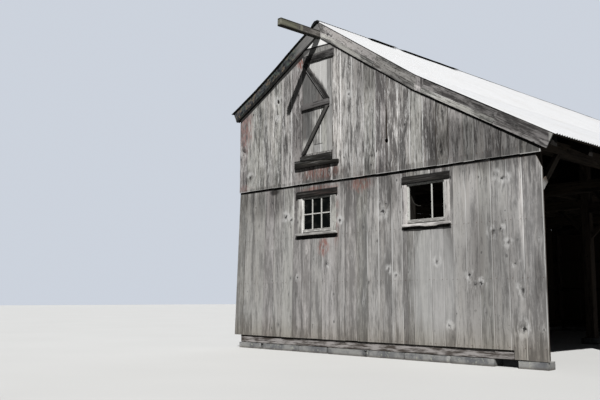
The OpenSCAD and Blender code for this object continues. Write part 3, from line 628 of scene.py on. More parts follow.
def siding_marks(f):
    """Stains, bare pale boards and the last of the paint on the front wall, with painted shadows and
    highlights.
    """
    x, y, z, dark, pale = f.x, f.y, f.z, f.dark, f.pale
    edge = (f.noise(f.place, (9, 9, 3.5), 3.0) - 0.5) * 1.6
    calm = f.band(z + edge * 0.2, 2.0, 2.8, 0.36, 0.0)
    f.lay(calm, f.mix(f.tone, (0.25, 0.246, 0.24), (0.37, 0.366, 0.355)))
    crisp = f.noise(f.flow, (38, 38, 4.5), 4.0, 0.72, (1, 9, 4))
    upper = f.band(z, 2.95, 3.0)
    f.lay(upper * f.fade(crisp, 0.39, 0.45) * 0.6, dark * 0.4)
    f.lay(upper * f.band(crisp, 0.55, 0.61) * 0.55, pale * 1.35)
    worn = f.band(f.noise(f.flow, (45, 45, 9.0), 4.0), 0.40, 0.55)
    red = reduce(Val.most, [f.spot(centre, radii, 0.5, edge) * share for centre, radii, share in PAINT])
    paint = np.array(bpy.context.scene.barn_finish.old_paint)
    f.lay(red * worn, f.mix(f.fade(x, -2.8, -2.7) * 0.45, paint, (0.34, 0.30, 0.30)))
    bare = f.spot((1.36, -5.67, 1.1), (0.40, 0.2, 0.95), 0.2, edge * 0.25)
    f.lay(bare * 0.55, f.mix(f.streak, pale * 0.75, pale * 1.12))
    grey = f.spot((2.6, -5.67, 1.9), (0.6, 0.2, 0.9), 0.4, edge * 0.4)
    f.lay(grey * 0.15, (0.36, 0.36, 0.37))
    for at, height, wide, high, kept in TONES:
        patch = f.spot((at, FRONT_Y, height), (wide, 0.3, high), 0.45, edge * 0.35)
        f.lay(patch, (kept, kept * 0.99, kept * 0.985), "MULTIPLY")
    nearest = f.nearest + (f.noise(f.place, 26.0, 4.0) - 0.5) * 3.2
    blotch = f.band(f.noise(f.place, (11, 11, 6), 3.0, offset=(4, 4, 4)), 0.44, 0.58)
    f.lay(f.fade(nearest, 1.5, 5.4) * blotch * 0.7, pale * 1.3)
    f.lay(f.fade(nearest, 1.0, 2.4) * f.fade(f.fine, 0.35, 0.6) * 0.75, dark * 0.5)
    f.lay(f.fade(nearest, 0.5, 1.1) * 0.9, dark * 0.12)
    joint = z + x * TIER_FALL
    drip = f.band(f.noise(f.place, (14, 14, 0.5), 3.0), 0.42, 0.62)
    f.lay(f.band(z, 2.3, 2.92) * f.fade(z, 2.95, 3.0) * drip * 0.4, dark * 0.6)
    # Painted shadow: a near-black band on the top of the lower tier, under the overlapping edge of the
    # upper tier
    tier_joint_shadow = f.band(joint, 2.852, 2.866) * f.fade(joint, 2.9, 2.93)
    f.lay(tier_joint_shadow * f.band(y, -5.68, -5.672) * 0.95, dark * 0.1)
    f.lay(f.fade(z + (f.broad - 0.5) * 0.5, 0.15, 0.7), (0.78, 0.74, 0.68), "MULTIPLY")
    # Painted shade: the slits are painted near black, for the dark inside seen through them
    for at, foot, head, wide in SLITS:
        slit = f.fade((x - at).size(), wide * 0.55, wide * 0.9)
        f.lay(slit * f.band(z, foot - 0.02, foot) * f.fade(z, head - 0.1, head), 0.004)
    depth = under_roof(f)
    # Painted shadow: a near-black band on the siding under the lower edge of the rakes
    gap = f.between(depth, 0.205, 0.25) * f.band(x, -1.0, -0.2, 0.3, 1.0)
    gap = gap.most(f.between(depth, 0.205, 0.30) * (x < -1.05))
    # Painted shade: black strips on the siding just above the window heads, and painted shadows under the
    # sills
    low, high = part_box("window_casings")
    at_windows = f.between(x, low.x, low.x + 1.0).most(f.between(x, high.x - 0.89, high.x))
    sill_foot = (f.noise(f.place, (5, 5, 5)) - 0.5) * 0.03 + low.z
    window_trim_shadows = f.between(z, 2.766, 2.79, 0.004).most(f.between(z - sill_foot, -0.068, 0.0, 0.005)) * at_windows
    # Painted highlight: a pale line along the foot of the upper tier's boards
    f.lay(f.between(joint, 2.88, 2.907, 0.004) * f.fade(y, -5.674, -5.67) * 0.5, pale * 1.3)
    for row in NAIL_ROWS:
        drop = f.band(z, row - 0.16, row - 0.02) * (z < row)
        f.lay(drop * f.band(f.fine, 0.56, 0.66) * 0.45, dark * 0.5)
    # Lays the painted shadows of the rakes and the window trims, near black
    f.lay(gap.most(window_trim_shadows) * 0.93, dark * 0.08)
    f.lay(f.between(z, 5.2, 5.335) * f.between(x, -1.4, -0.62) * 0.55, dark * 1.3)
    lap = z + x * 0.05
    f.lay(f.band(lap + edge * 0.01, 5.292, 5.305) * 0.95, (0.95, 0.95, 0.94))
    # Painted shade: a near-black line just under the white band by the peak, where the boards lap
    f.lay(f.between(lap, 5.27, 5.297, 0.006) * 0.95, dark * 0.08)
    f.lay(f.band(x, 3.158, 3.164) * (z < 2.94), 0.42, "MULTIPLY")


def under_roof(f):
    """How far a place on a gable lies under the top of the roof boards, square to the slope."""
    tops = []
    for node in ("right_roof_boards", "lean_to_roof_boards", "left_roof_boards"):
        top, fall = slope(node)[:2]
        tops.append(top.z + (f.x - top.x) * (fall.z / fall.x))
    right, lean_to, left = tops
    cosine = 0.86  # of the slopes, near enough
    return (right.most(lean_to).least(left) - f.z) * cosine


def bar_marks(f):
    """The upper slanting bar of the door has a painted highlight along its right edge, the middle bar
    painted shade along its foot, and the lower one is black.
    """
    # Painted highlight along the right edge of the upper bar
    f.lay(f.band(f.rim, 0.7, 0.85) * f.band(f.z, 4.35, 4.45) * 0.7, f.pale * 0.9)
    low = f.fade(f.z, 4.2, 4.24)
    f.lay(low * 0.45, (0.010, 0.0095, 0.009))
    f.lay(low * f.band(f.rim.size(), 0.45, 0.6) * 0.8, 0.006)
    # Painted shade: a near-black strip along the foot of the middle bar
    f.lay(f.fade(f.z - f.x * 0.02, 4.262, 4.277) * f.band(f.z, 4.22, 4.23) * 0.8, (0.008, 0.007, 0.007))


def door_marks(f):
    """The door is bleached above its upper bar and in its right half, and dark elsewhere."""
    x, z, dark, pale = f.x, f.z, f.dark, f.pale
    wave = (f.noise(f.place, (9, 9, 2.5), 3.0) - 0.5) * 0.3
    above, upper = f.band(z + x * 1.22 + wave, 3.44, 3.56), f.band(z, 4.24, 4.28)
    lower_left = f.fade(x + wave * 0.4, -1.22, -1.14) * f.band(z, 3.6, 3.75)
    right = f.band(x, -0.822, -0.812)
    murk = (upper * (1 - above)).most(lower_left * (1 - upper)) * (1 - right)
    deep = f.mix(f.band(f.broad, 0.45, 0.6) * 0.5, f.mix(f.streak, dark * 0.15, pale * 0.36),
                 (0.085, 0.065, 0.06))
    f.lay(murk * 0.85, deep)
    f.lay(right * 0.5, pale * 0.8)
    f.lay(above * upper * (1 - right) * 0.7, pale * 1.3)
    f.lay(f.between(x, -1.13, -0.92) * f.between(z, 3.42, 3.57) * 0.35, pale * 1.1)
    lines = (f.between(z, 3.575, 3.59, 0.006) * f.between(x, -1.13, -0.92)).most(
        f.between(x, -1.44, -1.415, 0.006) * f.between(z, 3.6, 4.2)).most(
        f.between(x, -0.73, -0.715, 0.006) * f.between(z, 4.55, 5.1))
    f.lay(lines * 0.8, dark * 0.3)


def head_marks(f):
    """The left-hand window head keeps some dark red paint, and both have painted shade, black along their
    top edge and foot.
    """
    z, top = f.z + f.sway * 0.012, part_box("window_casings")[1].z
    f.lay(f.between(f.x, -1.15, -0.55, 0.15) * f.band(f.streak, 0.4, 0.55) * 0.6, (0.06, 0.018, 0.016))
    streaks = f.noise(f.place, (1.6, 40, 55), 3.0, 0.6)
    f.lay(f.band(f.x, 0.7, 1.75, 1.0, 0.75) * f.band(streaks, 0.45, 0.6, 1.0, 0.5), (0.009, 0.008, 0.007))
    # Painted shade: black strips along the top edge and the foot of each head
    edge = f.band(z, top - 0.014, top - 0.008).most(f.fade(z, top - 0.09, top - 0.08))
    f.lay(edge * 0.85, (0.006, 0.005, 0.005))


LEDGE_THICK, LEDGE_THIN = 0.15, 0.06  # heights of the ledge timber at its left and its right end


def ledge_marks(f):
    """The wedge on the ledge is pale at its left end; the timber under it has a painted highlight along its
    middle and painted shade, black, at its foot.
    """
    z, low = f.z + f.sway * 0.02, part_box("hay_door_ledge")[0]
    above = z - (low.z + LEDGE_THICK - (f.x - low.x) * 0.085)
    f.lay(f.fade(f.x + f.sway * 0.3, -1.45, -0.85) * f.band(above, 0.0, 0.012) * 0.6, f.pale * 0.45)
    # Painted highlight: a pale strip along the middle of the timber, as on a round pole
    f.lay(f.between(above, -0.055, -0.025) * f.band(f.streak, 0.35, 0.6) * 0.7, f.pale * 0.35)
    streaks = f.noise(f.place, (1.8, 40, 50), 3.0, 0.6, (7, 0, 0))
    f.lay(f.band(streaks, 0.48, 0.6, 0.85, 0.0), (0.010, 0.0095, 0.007))
    # Painted shade: the foot of the timber is black, for the shade under it
    f.lay(f.fade(z, low.z + 0.035, low.z + 0.05) * 0.85, (0.008, 0.007, 0.006))


def rake_marks(f):
    """The right-hand rake darkens downhill, its narrow lower board less than the broad upper one."""
    x, lower = f.x, f.band(under_roof(f), 0.128, 0.134)
    broad = f.band(x, -0.4, 0.4, 0.95, 0.62) * f.band(x, 1.2, 2.2, 1.0, 0.6)
    narrow = f.band(x, -0.75, -0.5, 1.3, 0.85) * f.band(x, -0.2, 0.9, 1.0, 0.55)
    narrow = narrow * f.band(x, 1.08, 1.12, 1.0, 2.4) * f.band(x, 1.3, 3.2, 1.0, 0.45)
    kept = broad * (1 - lower) + narrow * lower
    f.colour = f.node("ShaderNodeVectorMath", {"operation": "SCALE"}, {0: f.colour, "Scale": kept})
    f.lay(f.band(f.noise(f.place, 22.0, 4.0, 0.7), 0.55, 0.68) * (1 - lower) * 0.7, 0.02)
    f.lay(f.band(x, 3.29, 3.32) * 0.6, (0.42, 0.42, 0.4))


def left_rake_marks(f):
    """The left-hand rake is stained blue-black, paler towards the peak, where some red paint is left, with
    painted shade black along its lower edge.
    """
    blot = f.noise(f.place, 15.0, 4.0, 0.7)
    stain = f.mix(f.band(f.noise(f.place, 7.0), 0.42, 0.58), (0.17, 0.135, 0.095), (0.075, 0.10, 0.085))
    f.lay(f.band(blot, 0.50, 0.56) * 0.8, stain)
    f.lay(f.fade(blot, 0.38, 0.46) * 0.85, (0.006, 0.007, 0.009))
    peak = f.band(f.x + f.sway * 0.3, -1.75, -1.45)
    f.lay(peak * 0.8, f.mix(f.streak, (0.05, 0.049, 0.048), (0.36, 0.355, 0.35)))
    f.lay(f.spot((-1.5, -5.7, 5.2), (0.09, 0.2, 0.10), 0.5, f.sway * 1.5) * 0.6, (0.13, 0.045, 0.025))
    # Painted shadow: black along the lower edge of the rake
    f.lay(f.band(under_roof(f) + f.sway * 0.02, 0.178, 0.19) * 0.85, 0.008)


def frame_marks(f):
    """The front brace is silver-grey at its lower end, the sill flaked, and painted shade blackens what
    lies by the open window and at the right eave.
    """
    x, y, z = f.x, f.y, f.z
    brace = f.band(x, 2.85, 2.9) * f.fade(y + f.sway * 0.2, -5.5, -5.25) * f.between(z, 2.15, 2.5, 0.05)
    f.lay(brace * 0.95, f.mix(f.streak, 0.16, (0.50, 0.50, 0.49)))
    flaked = f.band(f.noise(f.place, (3, 20, 22), 5.0, 0.7), 0.4, 0.6)
    f.lay(f.fade(z, 0.2, 0.24) * f.fade(y, -5.635, -5.63) * 0.95,
          f.mix(flaked, (0.07, 0.06, 0.053), (0.36, 0.34, 0.33)))
    # Painted shade: near black on the timbers seen through the open window and on the rafter ends at the
    # right-hand eave
    window_and_eave_shade = f.spot((1.0, -5.55, 2.3), (0.3, 0.3, 0.5)).most(f.band(x, 3.09, 3.13) * f.band(z, 2.5, 2.6))
    f.lay(window_and_eave_shade * 0.93, (0.006, 0.005, 0.004))


def beam_marks(f):
    """Yellow-green lichen on the outer half of the beam, which ends in a pale ring, with a dark top edge
    and painted shade along its foot.
    """
    out = f.fade(f.y + f.sway * 0.25, -6.28, -6.16)
    moss = f.mix(f.streak, (0.05, 0.05, 0.038), (0.27, 0.275, 0.19))
    f.lay(out * f.band(f.cloud, 0.42, 0.58) * 0.75, moss)
    f.lay(f.fade((f.y + 6.16).size(), 0.02, 0.035) * 0.4, (0.36, 0.36, 0.27))
    low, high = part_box("ridge_beam")
    z = f.z + f.sway * 0.03
    # A dark top edge, and painted shade: the foot of the beam's sides is black, for its unlit underside
    dark_top_and_shaded_foot = f.fade(z, low.z + 0.022, low.z + 0.03).most(f.band(z, high.z - 0.03, high.z - 0.02))
    f.lay(dark_top_and_shaded_foot * 0.85, (0.02, 0.019, 0.016))


def white_sheet_finish():
    """Painted corrugated sheet: dust, streaks and some rust."""
    f = Finish("white_corrugated_sheet")
    white = np.array(bpy.context.scene.barn_finish.sheet_white)
    cloud = f.noise(f.place, (1.5, 0.8, 1.5), 4.0)
    speck = f.noise(f.place, (60, 60, 60))
    f.colour = f.mix(f.band(cloud, 0.4, 0.7) * 0.35, white, white * 0.82)
    f.lay(f.band(f.noise(f.place, (1.2, 34, 1.2), 3.0), 0.52, 0.72) * 0.3, (0.55, 0.54, 0.5))
    f.lay(f.band(speck * 0.6 + cloud * 0.4, 0.6, 0.7) * 0.5, (0.4, 0.3, 0.22))
    return f.give(f.band(cloud, 0.3, 0.7, 0.35, 0.55), speck, 0.15, 0.001, Metallic=0.0,
                  Specular_IOR_Level=0.5)


def dark_roofing_finish():
    """Mineral-faced roll roofing with lichen and worn streaks."""
    f = Finish("dark_roll_roofing")
    grit = f.noise(f.place, 420.0)
    moss = f.noise(f.place, (14, 14, 14), 4.0, 0.65)
    cloud = f.band(f.noise(f.place, (2.2, 1.2, 2.2), 4.0), 0.35, 0.7)
    f.colour = f.mix(cloud, (0.032, 0.036, 0.036), (0.085, 0.09, 0.088))
    f.lay(f.band(moss, 0.56, 0.66) * 0.7, (0.13, 0.15, 0.09))
    f.lay(f.band(grit, 0.55, 0.7) * 0.4, (0.22, 0.22, 0.21))
    return f.give(f.band(moss, 0.4, 0.7, 0.85, 0.95), grit + moss, 0.5, 0.002)


def stone_finish():
    """Field stone: mottled grey with lichen, pits and soil at the foot."""
    f = Finish("field_stone")
    cloud = f.noise(f.place, 5.0, 5.0, 0.6)
    grit = f.noise(f.place, 90.0, 4.0, 0.7)
    f.colour = f.mix(f.band(cloud, 0.35, 0.65), (0.12, 0.125, 0.135), (0.31, 0.31, 0.30))
    f.lay(f.band(grit, 0.45, 0.65) * 0.5, (0.20, 0.195, 0.185))
    f.lay(f.band(f.noise(f.place, 22.0, 4.0), 0.6, 0.66) * 0.6, (0.42, 0.43, 0.36))
    f.lay(f.fade(f.z, 0.0, 0.05) * 0.6, (0.07, 0.055, 0.04))
    return f.give(0.9, grit * 0.6 + cloud, 0.7, 0.008)


def sash_finish():
    """Old white paint that cracks and lets the wood through, with a dark split along the foot."""
    f = Finish("painted_sash_wood")
    grow_wood(f, knots=False)
    bare = f.mix(f.streak, (0.12, 0.115, 0.11), (0.42, 0.41, 0.395))
    paint = f.mix(f.fine, (0.68, 0.68, 0.65), (0.5, 0.5, 0.47))
    flake = f.noise(f.flow, (60, 60, 9), 4.0, 0.7)
    foot, glass_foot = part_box("window_sashes")[0].z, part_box("window_glass")[0].z
    gone = f.band(flake + f.fade(f.z, glass_foot - 0.006, glass_foot) * 0.14, 0.55, 0.62)
    split = f.between(f.z + (f.broad - 0.5) * 0.01, foot + 0.012, foot + 0.03, 0.003)
    f.colour = f.mix(gone, paint, bare)
    f.lay(split * 0.8, (0.02, 0.019, 0.017))
    return f.give(f.mix(gone, 0.5, 0.9), flake * -1.0, 0.4, 0.001)


def glass_finish():
    """Old window glass with dust in its corners and a slight wave, opaque and near black as painted shade
    for the dark inside.
    """
    f = Finish("old_glass")
    dust = f.noise(f.place, 7.0, 4.0)
    # Painted shade: the panes are opaque and near black, for the dark inside seen through them
    f.colour = f.mix(f.band(dust, 0.45, 0.75), (0.003, 0.004, 0.004), (0.02, 0.02, 0.018))
    wave = f.noise(f.place, (3, 3, 9), 1.0)
    return f.give(f.band(dust, 0.4, 0.8, 0.06, 0.25), wave, 0.25, 0.003, Specular_IOR_Level=0.18)


def metal_finish():
    """Rusty nail heads."""
    f = Finish("rusty_iron")
    rust = f.noise(f.place, 160.0, 3.0)
    f.colour = f.mix(rust, (0.05, 0.028, 0.02), (0.17, 0.085, 0.045))
    return f.give(0.8, rust, 0.3, 0.0005, Metallic=0.3)


# Inner faces of the boards: brown unweathered wood, darkened as painted shade for the dark inside of the
# barn
UNWEATHERED_AND_SHADED = (0.06, 0.046, 0.034)
WOODS = {
    "front": dict(name="front_board_wood", variety=0.65, inside=UNWEATHERED_AND_SHADED, marks=siding_marks,
                  known=KNOTS),
    "siding": dict(name="wall_board_wood", pale=0.93, inside=UNWEATHERED_AND_SHADED),
    "door": dict(name="door_board_wood", inside=UNWEATHERED_AND_SHADED, marks=door_marks),
    "trim": dict(name="grey_trim_wood", pale=1.05, contrast=1.8, marks=rake_marks),
    "head": dict(name="window_head_wood", dark=0.08, pale=0.2, contrast=1.8, variety=0.1, marks=head_marks),
    "header": dict(name="header_wood", dark=0.1, pale=0.22, contrast=1.8, variety=0.1),
    "ledge": dict(name="ledge_wood", dark=0.12, pale=0.2, marks=ledge_marks),
    "sill": dict(name="window_sill_wood", dark=2.2, pale=1.35),
    # Kept dark: the timbers' own dark wood, darkened further as painted shade for the dark inside of the
    # barn
    "frame": dict(name="frame_timber_wood", dark=(0.022, 0.018, 0.015), pale=(0.095, 0.078, 0.062),
                  warmth=0.4, warm=(0.11, 0.08, 0.052), marks=frame_marks),
    "beam": dict(name="hoist_beam_wood", dark=(0.05, 0.047, 0.042), pale=(0.22, 0.215, 0.2),
                 warm=(0.19, 0.19, 0.11), marks=beam_marks),
    "under": dict(name="roof_board_wood", dark=(0.022, 0.018, 0.014), pale=(0.085, 0.068, 0.054),
                  warmth=0.4, warm=(0.1, 0.07, 0.045)),
    "left_rake": dict(name="left_rake_wood", dark=(0.009, 0.0105, 0.012), pale=(0.06, 0.066, 0.074),
                      warm=(0.07, 0.05, 0.04), contrast=2.0, marks=left_rake_marks),
    "bar": dict(name="door_bar_wood", dark=0.12, pale=0.24, warmth=0.1, contrast=1.3, marks=bar_marks),
    "casing": dict(name="casing_wood", dark=1.3, pale=1.15, contrast=1.4, variety=0.2),
}
OTHER_FINISHES = {
    "sheet": white_sheet_finish, "roofing": dark_roofing_finish, "stone": stone_finish, "sash": sash_finish,
    "glass": glass_finish, "iron": metal_finish,
}


@cache
def material(name):
    """The finish of that name, made the first time it is asked for."""
    return old_wood(**WOODS[name]) if name in WOODS else OTHER_FINISHES[name]()


def random_seams(low, high, usual, rng):
    seams = [low]
    while seams[-1] < high - usual * 1.3:
        seams.append(seams[-1] + usual * rng.uniform(0.72, 1.28))
    return seams + [high]


def wall(name, node, seams, out, seed, finish, tight=1.0, foot=None, shape=()):
    """A nailed wall of upright boards between seams, in the place of its CAD node and cut to its outline.
    out points into the barn, foot gives the height of a board's foot by its place, and shape lists what is
    done to the boards before their edges are rounded."""
    s = bpy.context.scene.barn_siding
    rng = random.Random(seed)
    low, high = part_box(node)
    axis = 0 if out.x else 1
    along, face = out.cross(UP), Vector()
    face[axis] = (low[axis] + high[axis]) / 2
    gap, head = s.gap * tight, high.z + PAST_HEAD
    places = []
    for a, b in zip(seams, seams[1:]):
        mid = (a + b) / 2
        start = (foot(mid) if foot else low.z - PAST_FOOT) + rng.uniform(0, 0.012)
        width = b - a - gap * rng.choice(GAP_SHARES)
        push = -s.proud * rng.random() ** 2
        lean = Euler((0, 0, rng.uniform(-0.012, 0.012))).to_matrix().to_4x4()
        flip = Matrix.Rotation(math.pi * rng.randint(0, 1), 4, "Z")
        local = Matrix.Translation((mid, push, (start + head) / 2)) @ lean @ sized(
            width, BOARD_THICK, head - start) @ flip
        places.append(Matrix.Translation(face) @ (turned(along, out, UP) @ local))
    master = master_board(9)
    boards = stamped(name, master, places)
    remove(master)
    roughen(boards, 0.0016 * tight, seed)
    keep_inside(boards, node, axis)
    for work in shape:
        work(boards)
    dress(boards, finish, [node], seed, BOARD_EDGE, along=UP, out=-out)
    nail_up(boards, name.replace("boards", "nails"), seams, along, out, face)


def nail_up(boards, name, seams, along, out, face):
    """Nail heads on the outer face of a wall, two to a board on each girt."""
    take()
    bpy.ops.mesh.primitive_cylinder_add(vertices=8, radius=NAIL_HEAD, depth=NAIL_HEAD * 0.8)
    nail = bpy.context.object
    apply(nail, "BEVEL", width=NAIL_HEAD * 0.25, segments=1, limit_method="ANGLE")
    turn = out.to_track_quat("Z", "Y").to_matrix().to_4x4()
    places = []
    for a, b in zip(seams, seams[1:]):
        for place in (a + NAIL_INSET, b - NAIL_INSET):
            for row in NAIL_ROWS:
                start = along * place + UP * row + face - out * 0.3
                hit, spot, normal, number = boards.ray_cast(start, out, distance=0.4)
                if hit and abs(normal.dot(out)) > 0.9:
                    places.append(Matrix.Translation(spot) @ turn)
    if not places:
        raise RuntimeError("no nails found a board of " + name)
    nails = stamped(name, nail, places)
    remove(nail)
    smooth(nails, 35)
    clothe(nails, "iron")


def spread_corner(obj):
    """Pushes the foot of the left front corner outwards, fading out over the height of the tier."""
    co = points(obj)
    low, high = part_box("left_lower_siding")
    near = (co[:, 0] < low.x + 0.02) & (co[:, 1] < low.y + 0.06) & (co[:, 2] < low.z + 0.05)
    if not near.any():
        raise RuntimeError("no corner found on " + obj.name)
    shift(obj, near, (-bpy.context.scene.barn_siding.flare, 0, 0), use_proportional_edit=True,
          proportional_edit_falloff="LINEAR", proportional_size=high.z - low.z)


def sag(obj):
    """Lets the front end of the left roof slope hang a little."""
    middle = Vector((SAG_X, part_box("front_rake_boards")[0].y, SAG_Z))
    ends = []
    for drop in (0.0, SAG_DEEP):
        take()
        bpy.ops.object.empty_add(location=middle - UP * drop)
        ends.append(bpy.context.object)
    bpy.context.view_layer.update()
    apply(obj, "WARP", object_from=ends[0], object_to=ends[1], falloff_radius=SAG_REACH,
          falloff_type="SMOOTH")
    for end in ends:
        bpy.data.objects.remove(end)


def cut_age_holes(boards):
    """Cuts all knot holes and slits of the upper front."""
    low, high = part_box("front_upper_siding")
    cutters = []
    for x, z, radius in KNOT_HOLES:
        take()
        bpy.ops.mesh.primitive_cylinder_add(vertices=11, radius=radius, depth=0.2, location=(x, low.y, z),
                                            rotation=(math.pi / 2, 0, 0))
        hole = bpy.context.object
        hole.data.transform(hole.matrix_world)
        hole.matrix_world = Matrix.Identity(4)
        roughen(hole, radius * 0.15, 7)
        cutters.append(hole)
    for x, foot, head, width in SLITS:
        slit = cube("slit", (x - width / 2, low.y - 0.1, foot), (x + width / 2, high.y + 0.1, head))
        slice_up(slit, 2, 0.1)
        roughen(slit, width * 0.15, 8)
        cutters.append(slit)
    cut(boards, join("cutter", cutters), "DIFFERENCE")


class BARN_OT_front_siding(bpy.types.Operator):
    """Both tiers of boards on the front, with the lean-to's front"""

    bl_idname = "barn.front_siding"
    bl_label = "Front Siding"

    def execute(self, context):
        end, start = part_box("front_lower_siding")[1].x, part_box("lean_to_siding")[0].x
        narrowest = 0.05
        lower = [x for x in LOWER_SEAMS if x < end - narrowest] + [end]
        lean_to = [start] + [x for x in LOWER_SEAMS if x > start + narrowest]
        wall("front_lower_boards", "front_lower_siding", lower, BACK, 11, "front", shape=[spread_corner])
        wall("lean_to_front_boards", "lean_to_siding", lean_to, BACK, 12, "front")
        wall("front_upper_boards", "front_upper_siding", UPPER_SEAMS, BACK, 13, "front",
             foot=lambda x: TIER_FOOT - x * TIER_FALL - 0.004, shape=[cut_age_holes, sag])
        return {"FINISHED"}


class BARN_OT_side_and_back_siding(bpy.types.Operator):
    """Boards of the left wall and of the back gable, in two tiers"""

    bl_idname = "barn.side_and_back_siding"
    bl_label = "Side and Back Siding"

    def execute(self, context):
        width = context.scene.barn_siding.board_width
        for side, tier, out, run, seed, shape in (
            ("left", "lower", RIGHT, 1, 21, [spread_corner]), ("left", "upper", RIGHT, 1, 22, []),
            ("back", "lower", -BACK, 0, 23, []), ("back", "upper", -BACK, 0, 24, []),
        ):
            node = f"{side}_{tier}_siding"
            low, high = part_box(node)
            seams = random_seams(-high[run], -low[run], width, random.Random(seed + 100))
            wall(f"{side}_{tier}_boards", node, seams, out, seed, "siding", tight=0.4, shape=shape)
        return {"FINISHED"}


TIMBERS = (
    ("sill_timbers", ("front_sill", "left_sill", "back_sill"), 0.012),
    ("post_timbers", ("left_posts", "middle_posts", "right_posts"), 0.010),
    ("plate_timbers", ("left_plate", "middle_plate", "right_plate"), 0.009),
    ("tie_timbers", ("tie_beams", "lean_to_ties"), 0.010),
    ("knee_braces", ("wall_braces", "frame_braces"), 0.006),
    ("loft_joist_timbers", ("loft_joists",), 0.006),
    ("wall_girt_timbers", ("wall_girts",), 0.005),
    ("gable_stud_timbers", ("gable_studs", "gable_girts"), 0.005),
    ("hoist_and_ridge_beam", ("ridge_beam",), 0.008),
    ("left_rafter_poles", ("left_rafters",), 0.007),
    ("right_rafter_poles", ("right_rafters",), 0.007),
    ("lean_to_rafter_poles", ("lean_to_rafters",), 0.007),
)


class BARN_OT_timber_frame(bpy.types.Operator):
    """Sills, posts, plates, ties, braces, joists, girts, studs, ridge beam and rafters, hewn and worn"""

    bl_idname = "barn.timber_frame"
    bl_label = "Timber Frame"

    def execute(self, context):
        for seed, (name, nodes, edge) in enumerate(TIMBERS, 40):
            timber = join(name, [cad_copy(n, name) for n in nodes])
            spread = points(timber).max(0) - points(timber).min(0)
            for axis in range(3):
                if spread[axis] > 1.0:
                    slice_up(timber, axis, 0.5)
            if name == "left_rafter_poles":
                sag(timber)
            finish = "beam" if name == "hoist_and_ridge_beam" else "frame"
            dress(timber, finish, nodes, seed, edge, rough=0.003)
        return {"FINISHED"}


class BARN_OT_loft_and_roof_boards(bpy.types.Operator):
    """Loft floor boards across the joists, and the boards that the roofing lies on"""

    bl_idname = "barn.loft_and_roof_boards"
    bl_label = "Loft and Roof Boards"

    def execute(self, context):
        master = master_board(5)
        rng = random.Random(51)
        low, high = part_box("loft_floor")
        places = []
        seams = random_seams(low.y, high.y, 0.2, rng)
        for a, b in zip(seams, seams[1:]):
            middle = ((low.x + high.x) / 2, (a + b) / 2, (low.z + high.z) / 2 + rng.uniform(-0.001, 0.001))
            size = sized(b - a - 0.003, high.z - low.z, high.x - low.x)
            places.append(Matrix.Translation(middle) @ turned(BACK, UP, RIGHT) @ size)
        floor = stamped("loft_floor_boards", master, places)
        dress(floor, "frame", ["loft_floor"], 51, 0.003, rough=0.001, along=RIGHT)
        for side, seed in (("left", 52), ("right", 53), ("lean_to", 54)):
            node = side + "_roof_boards"
            top, downhill, normal, fall, y0, y1 = slope(node)
            rng = random.Random(seed)
            places = []
            seams = random_seams(0.0, fall, 0.21, rng)
            run = y1 - y0
            for a, b in zip(seams, seams[1:]):
                joints = [y0, y0 + run * rng.uniform(0.25, 0.45), y0 + run * rng.uniform(0.6, 0.8), y1]
                for c, d in zip(joints, joints[1:]):
                    middle = top + downhill * (a + b) / 2 - normal * PLANK_THICK / 2 + BACK * ((c + d) / 2)
                    size = sized(b - a - 0.004, PLANK_THICK - 0.001, d - c - 0.003)
                    places.append(Matrix.Translation(middle) @ turned(downhill, normal, BACK) @ size)
            planks = stamped(side + "_roof_planks", master, places)
            if side == "left":
                slice_up(planks, 1, 0.2, y0, y0 + SAG_REACH + 0.1)
                sag(planks)
            dress(planks, "under", [node], seed, 0.002, rough=0.001, along=BACK)
        remove(master)
        return {"FINISHED"}


def corrugated(waves, pitch, height, long):
    """One corrugated sheet, with its waves along X, made from a grid whose lines are lifted in turn."""
    steps = 8  # lines of the grid to a wave
    take()
    bpy.ops.mesh.primitive_grid_add(x_subdivisions=waves * steps, y_subdivisions=4, size=1)
    sheet = bpy.context.object
    sheet.data.transform(sized(waves * pitch, long, 1))
    column = np.rint((points(sheet)[:, 0] / (waves * pitch) + 0.5) * waves * steps).astype(int)
    for phase in range(steps):
        shift(sheet, column % steps == phase, (0, 0, -height / 2 * math.cos(2 * math.pi * phase / steps)))
    return sheet


class BARN_OT_corrugated_roof(bpy.types.Operator):
    """White corrugated sheets with side laps on the right slope and on the lean-to"""

    bl_idname = "barn.corrugated_roof"
    bl_label = "Corrugated Roof"

    def execute(self, context):
        s = context.scene.barn_roof
        pitch, height = s.wave_pitch, s.wave_height
        for side, seed in (("right", 61), ("lean_to", 62)):
            node = side + "_roof_sheet"
            low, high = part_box(node)
            low.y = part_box("front_rake_boards")[0].y - 0.006
            top, downhill, normal, *_ = slope(side + "_roof_boards")
            fall = (high.x - low.x) / downhill.x
            sheet = corrugated(s.waves, pitch, height, fall)
            rng = random.Random(seed)
            step = (s.waves - 1) * pitch
            start = low.y + s.waves * pitch / 2
            places = []
            for k in range(int((high.y - low.y - pitch) // step)):
                lift = height / 2 + SHEET_LIFT + (k % 2) * SHEET_STACK
                middle = top + downhill * (fall / 2 + rng.uniform(-0.004, 0.0)) + normal * lift
                place = Matrix.Translation(middle + Vector((0, start + k * step, 0)))
                places.append(place @ turned(BACK, -downhill, normal))
            roof = stamped(node + "s", sheet, places)
            remove(sheet)
            apply(roof, "SOLIDIFY", thickness=SHEET_THICK, offset=0.0)
            smooth(roof)
            clothe(roof, "sheet", [node])
        return {"FINISHED"}


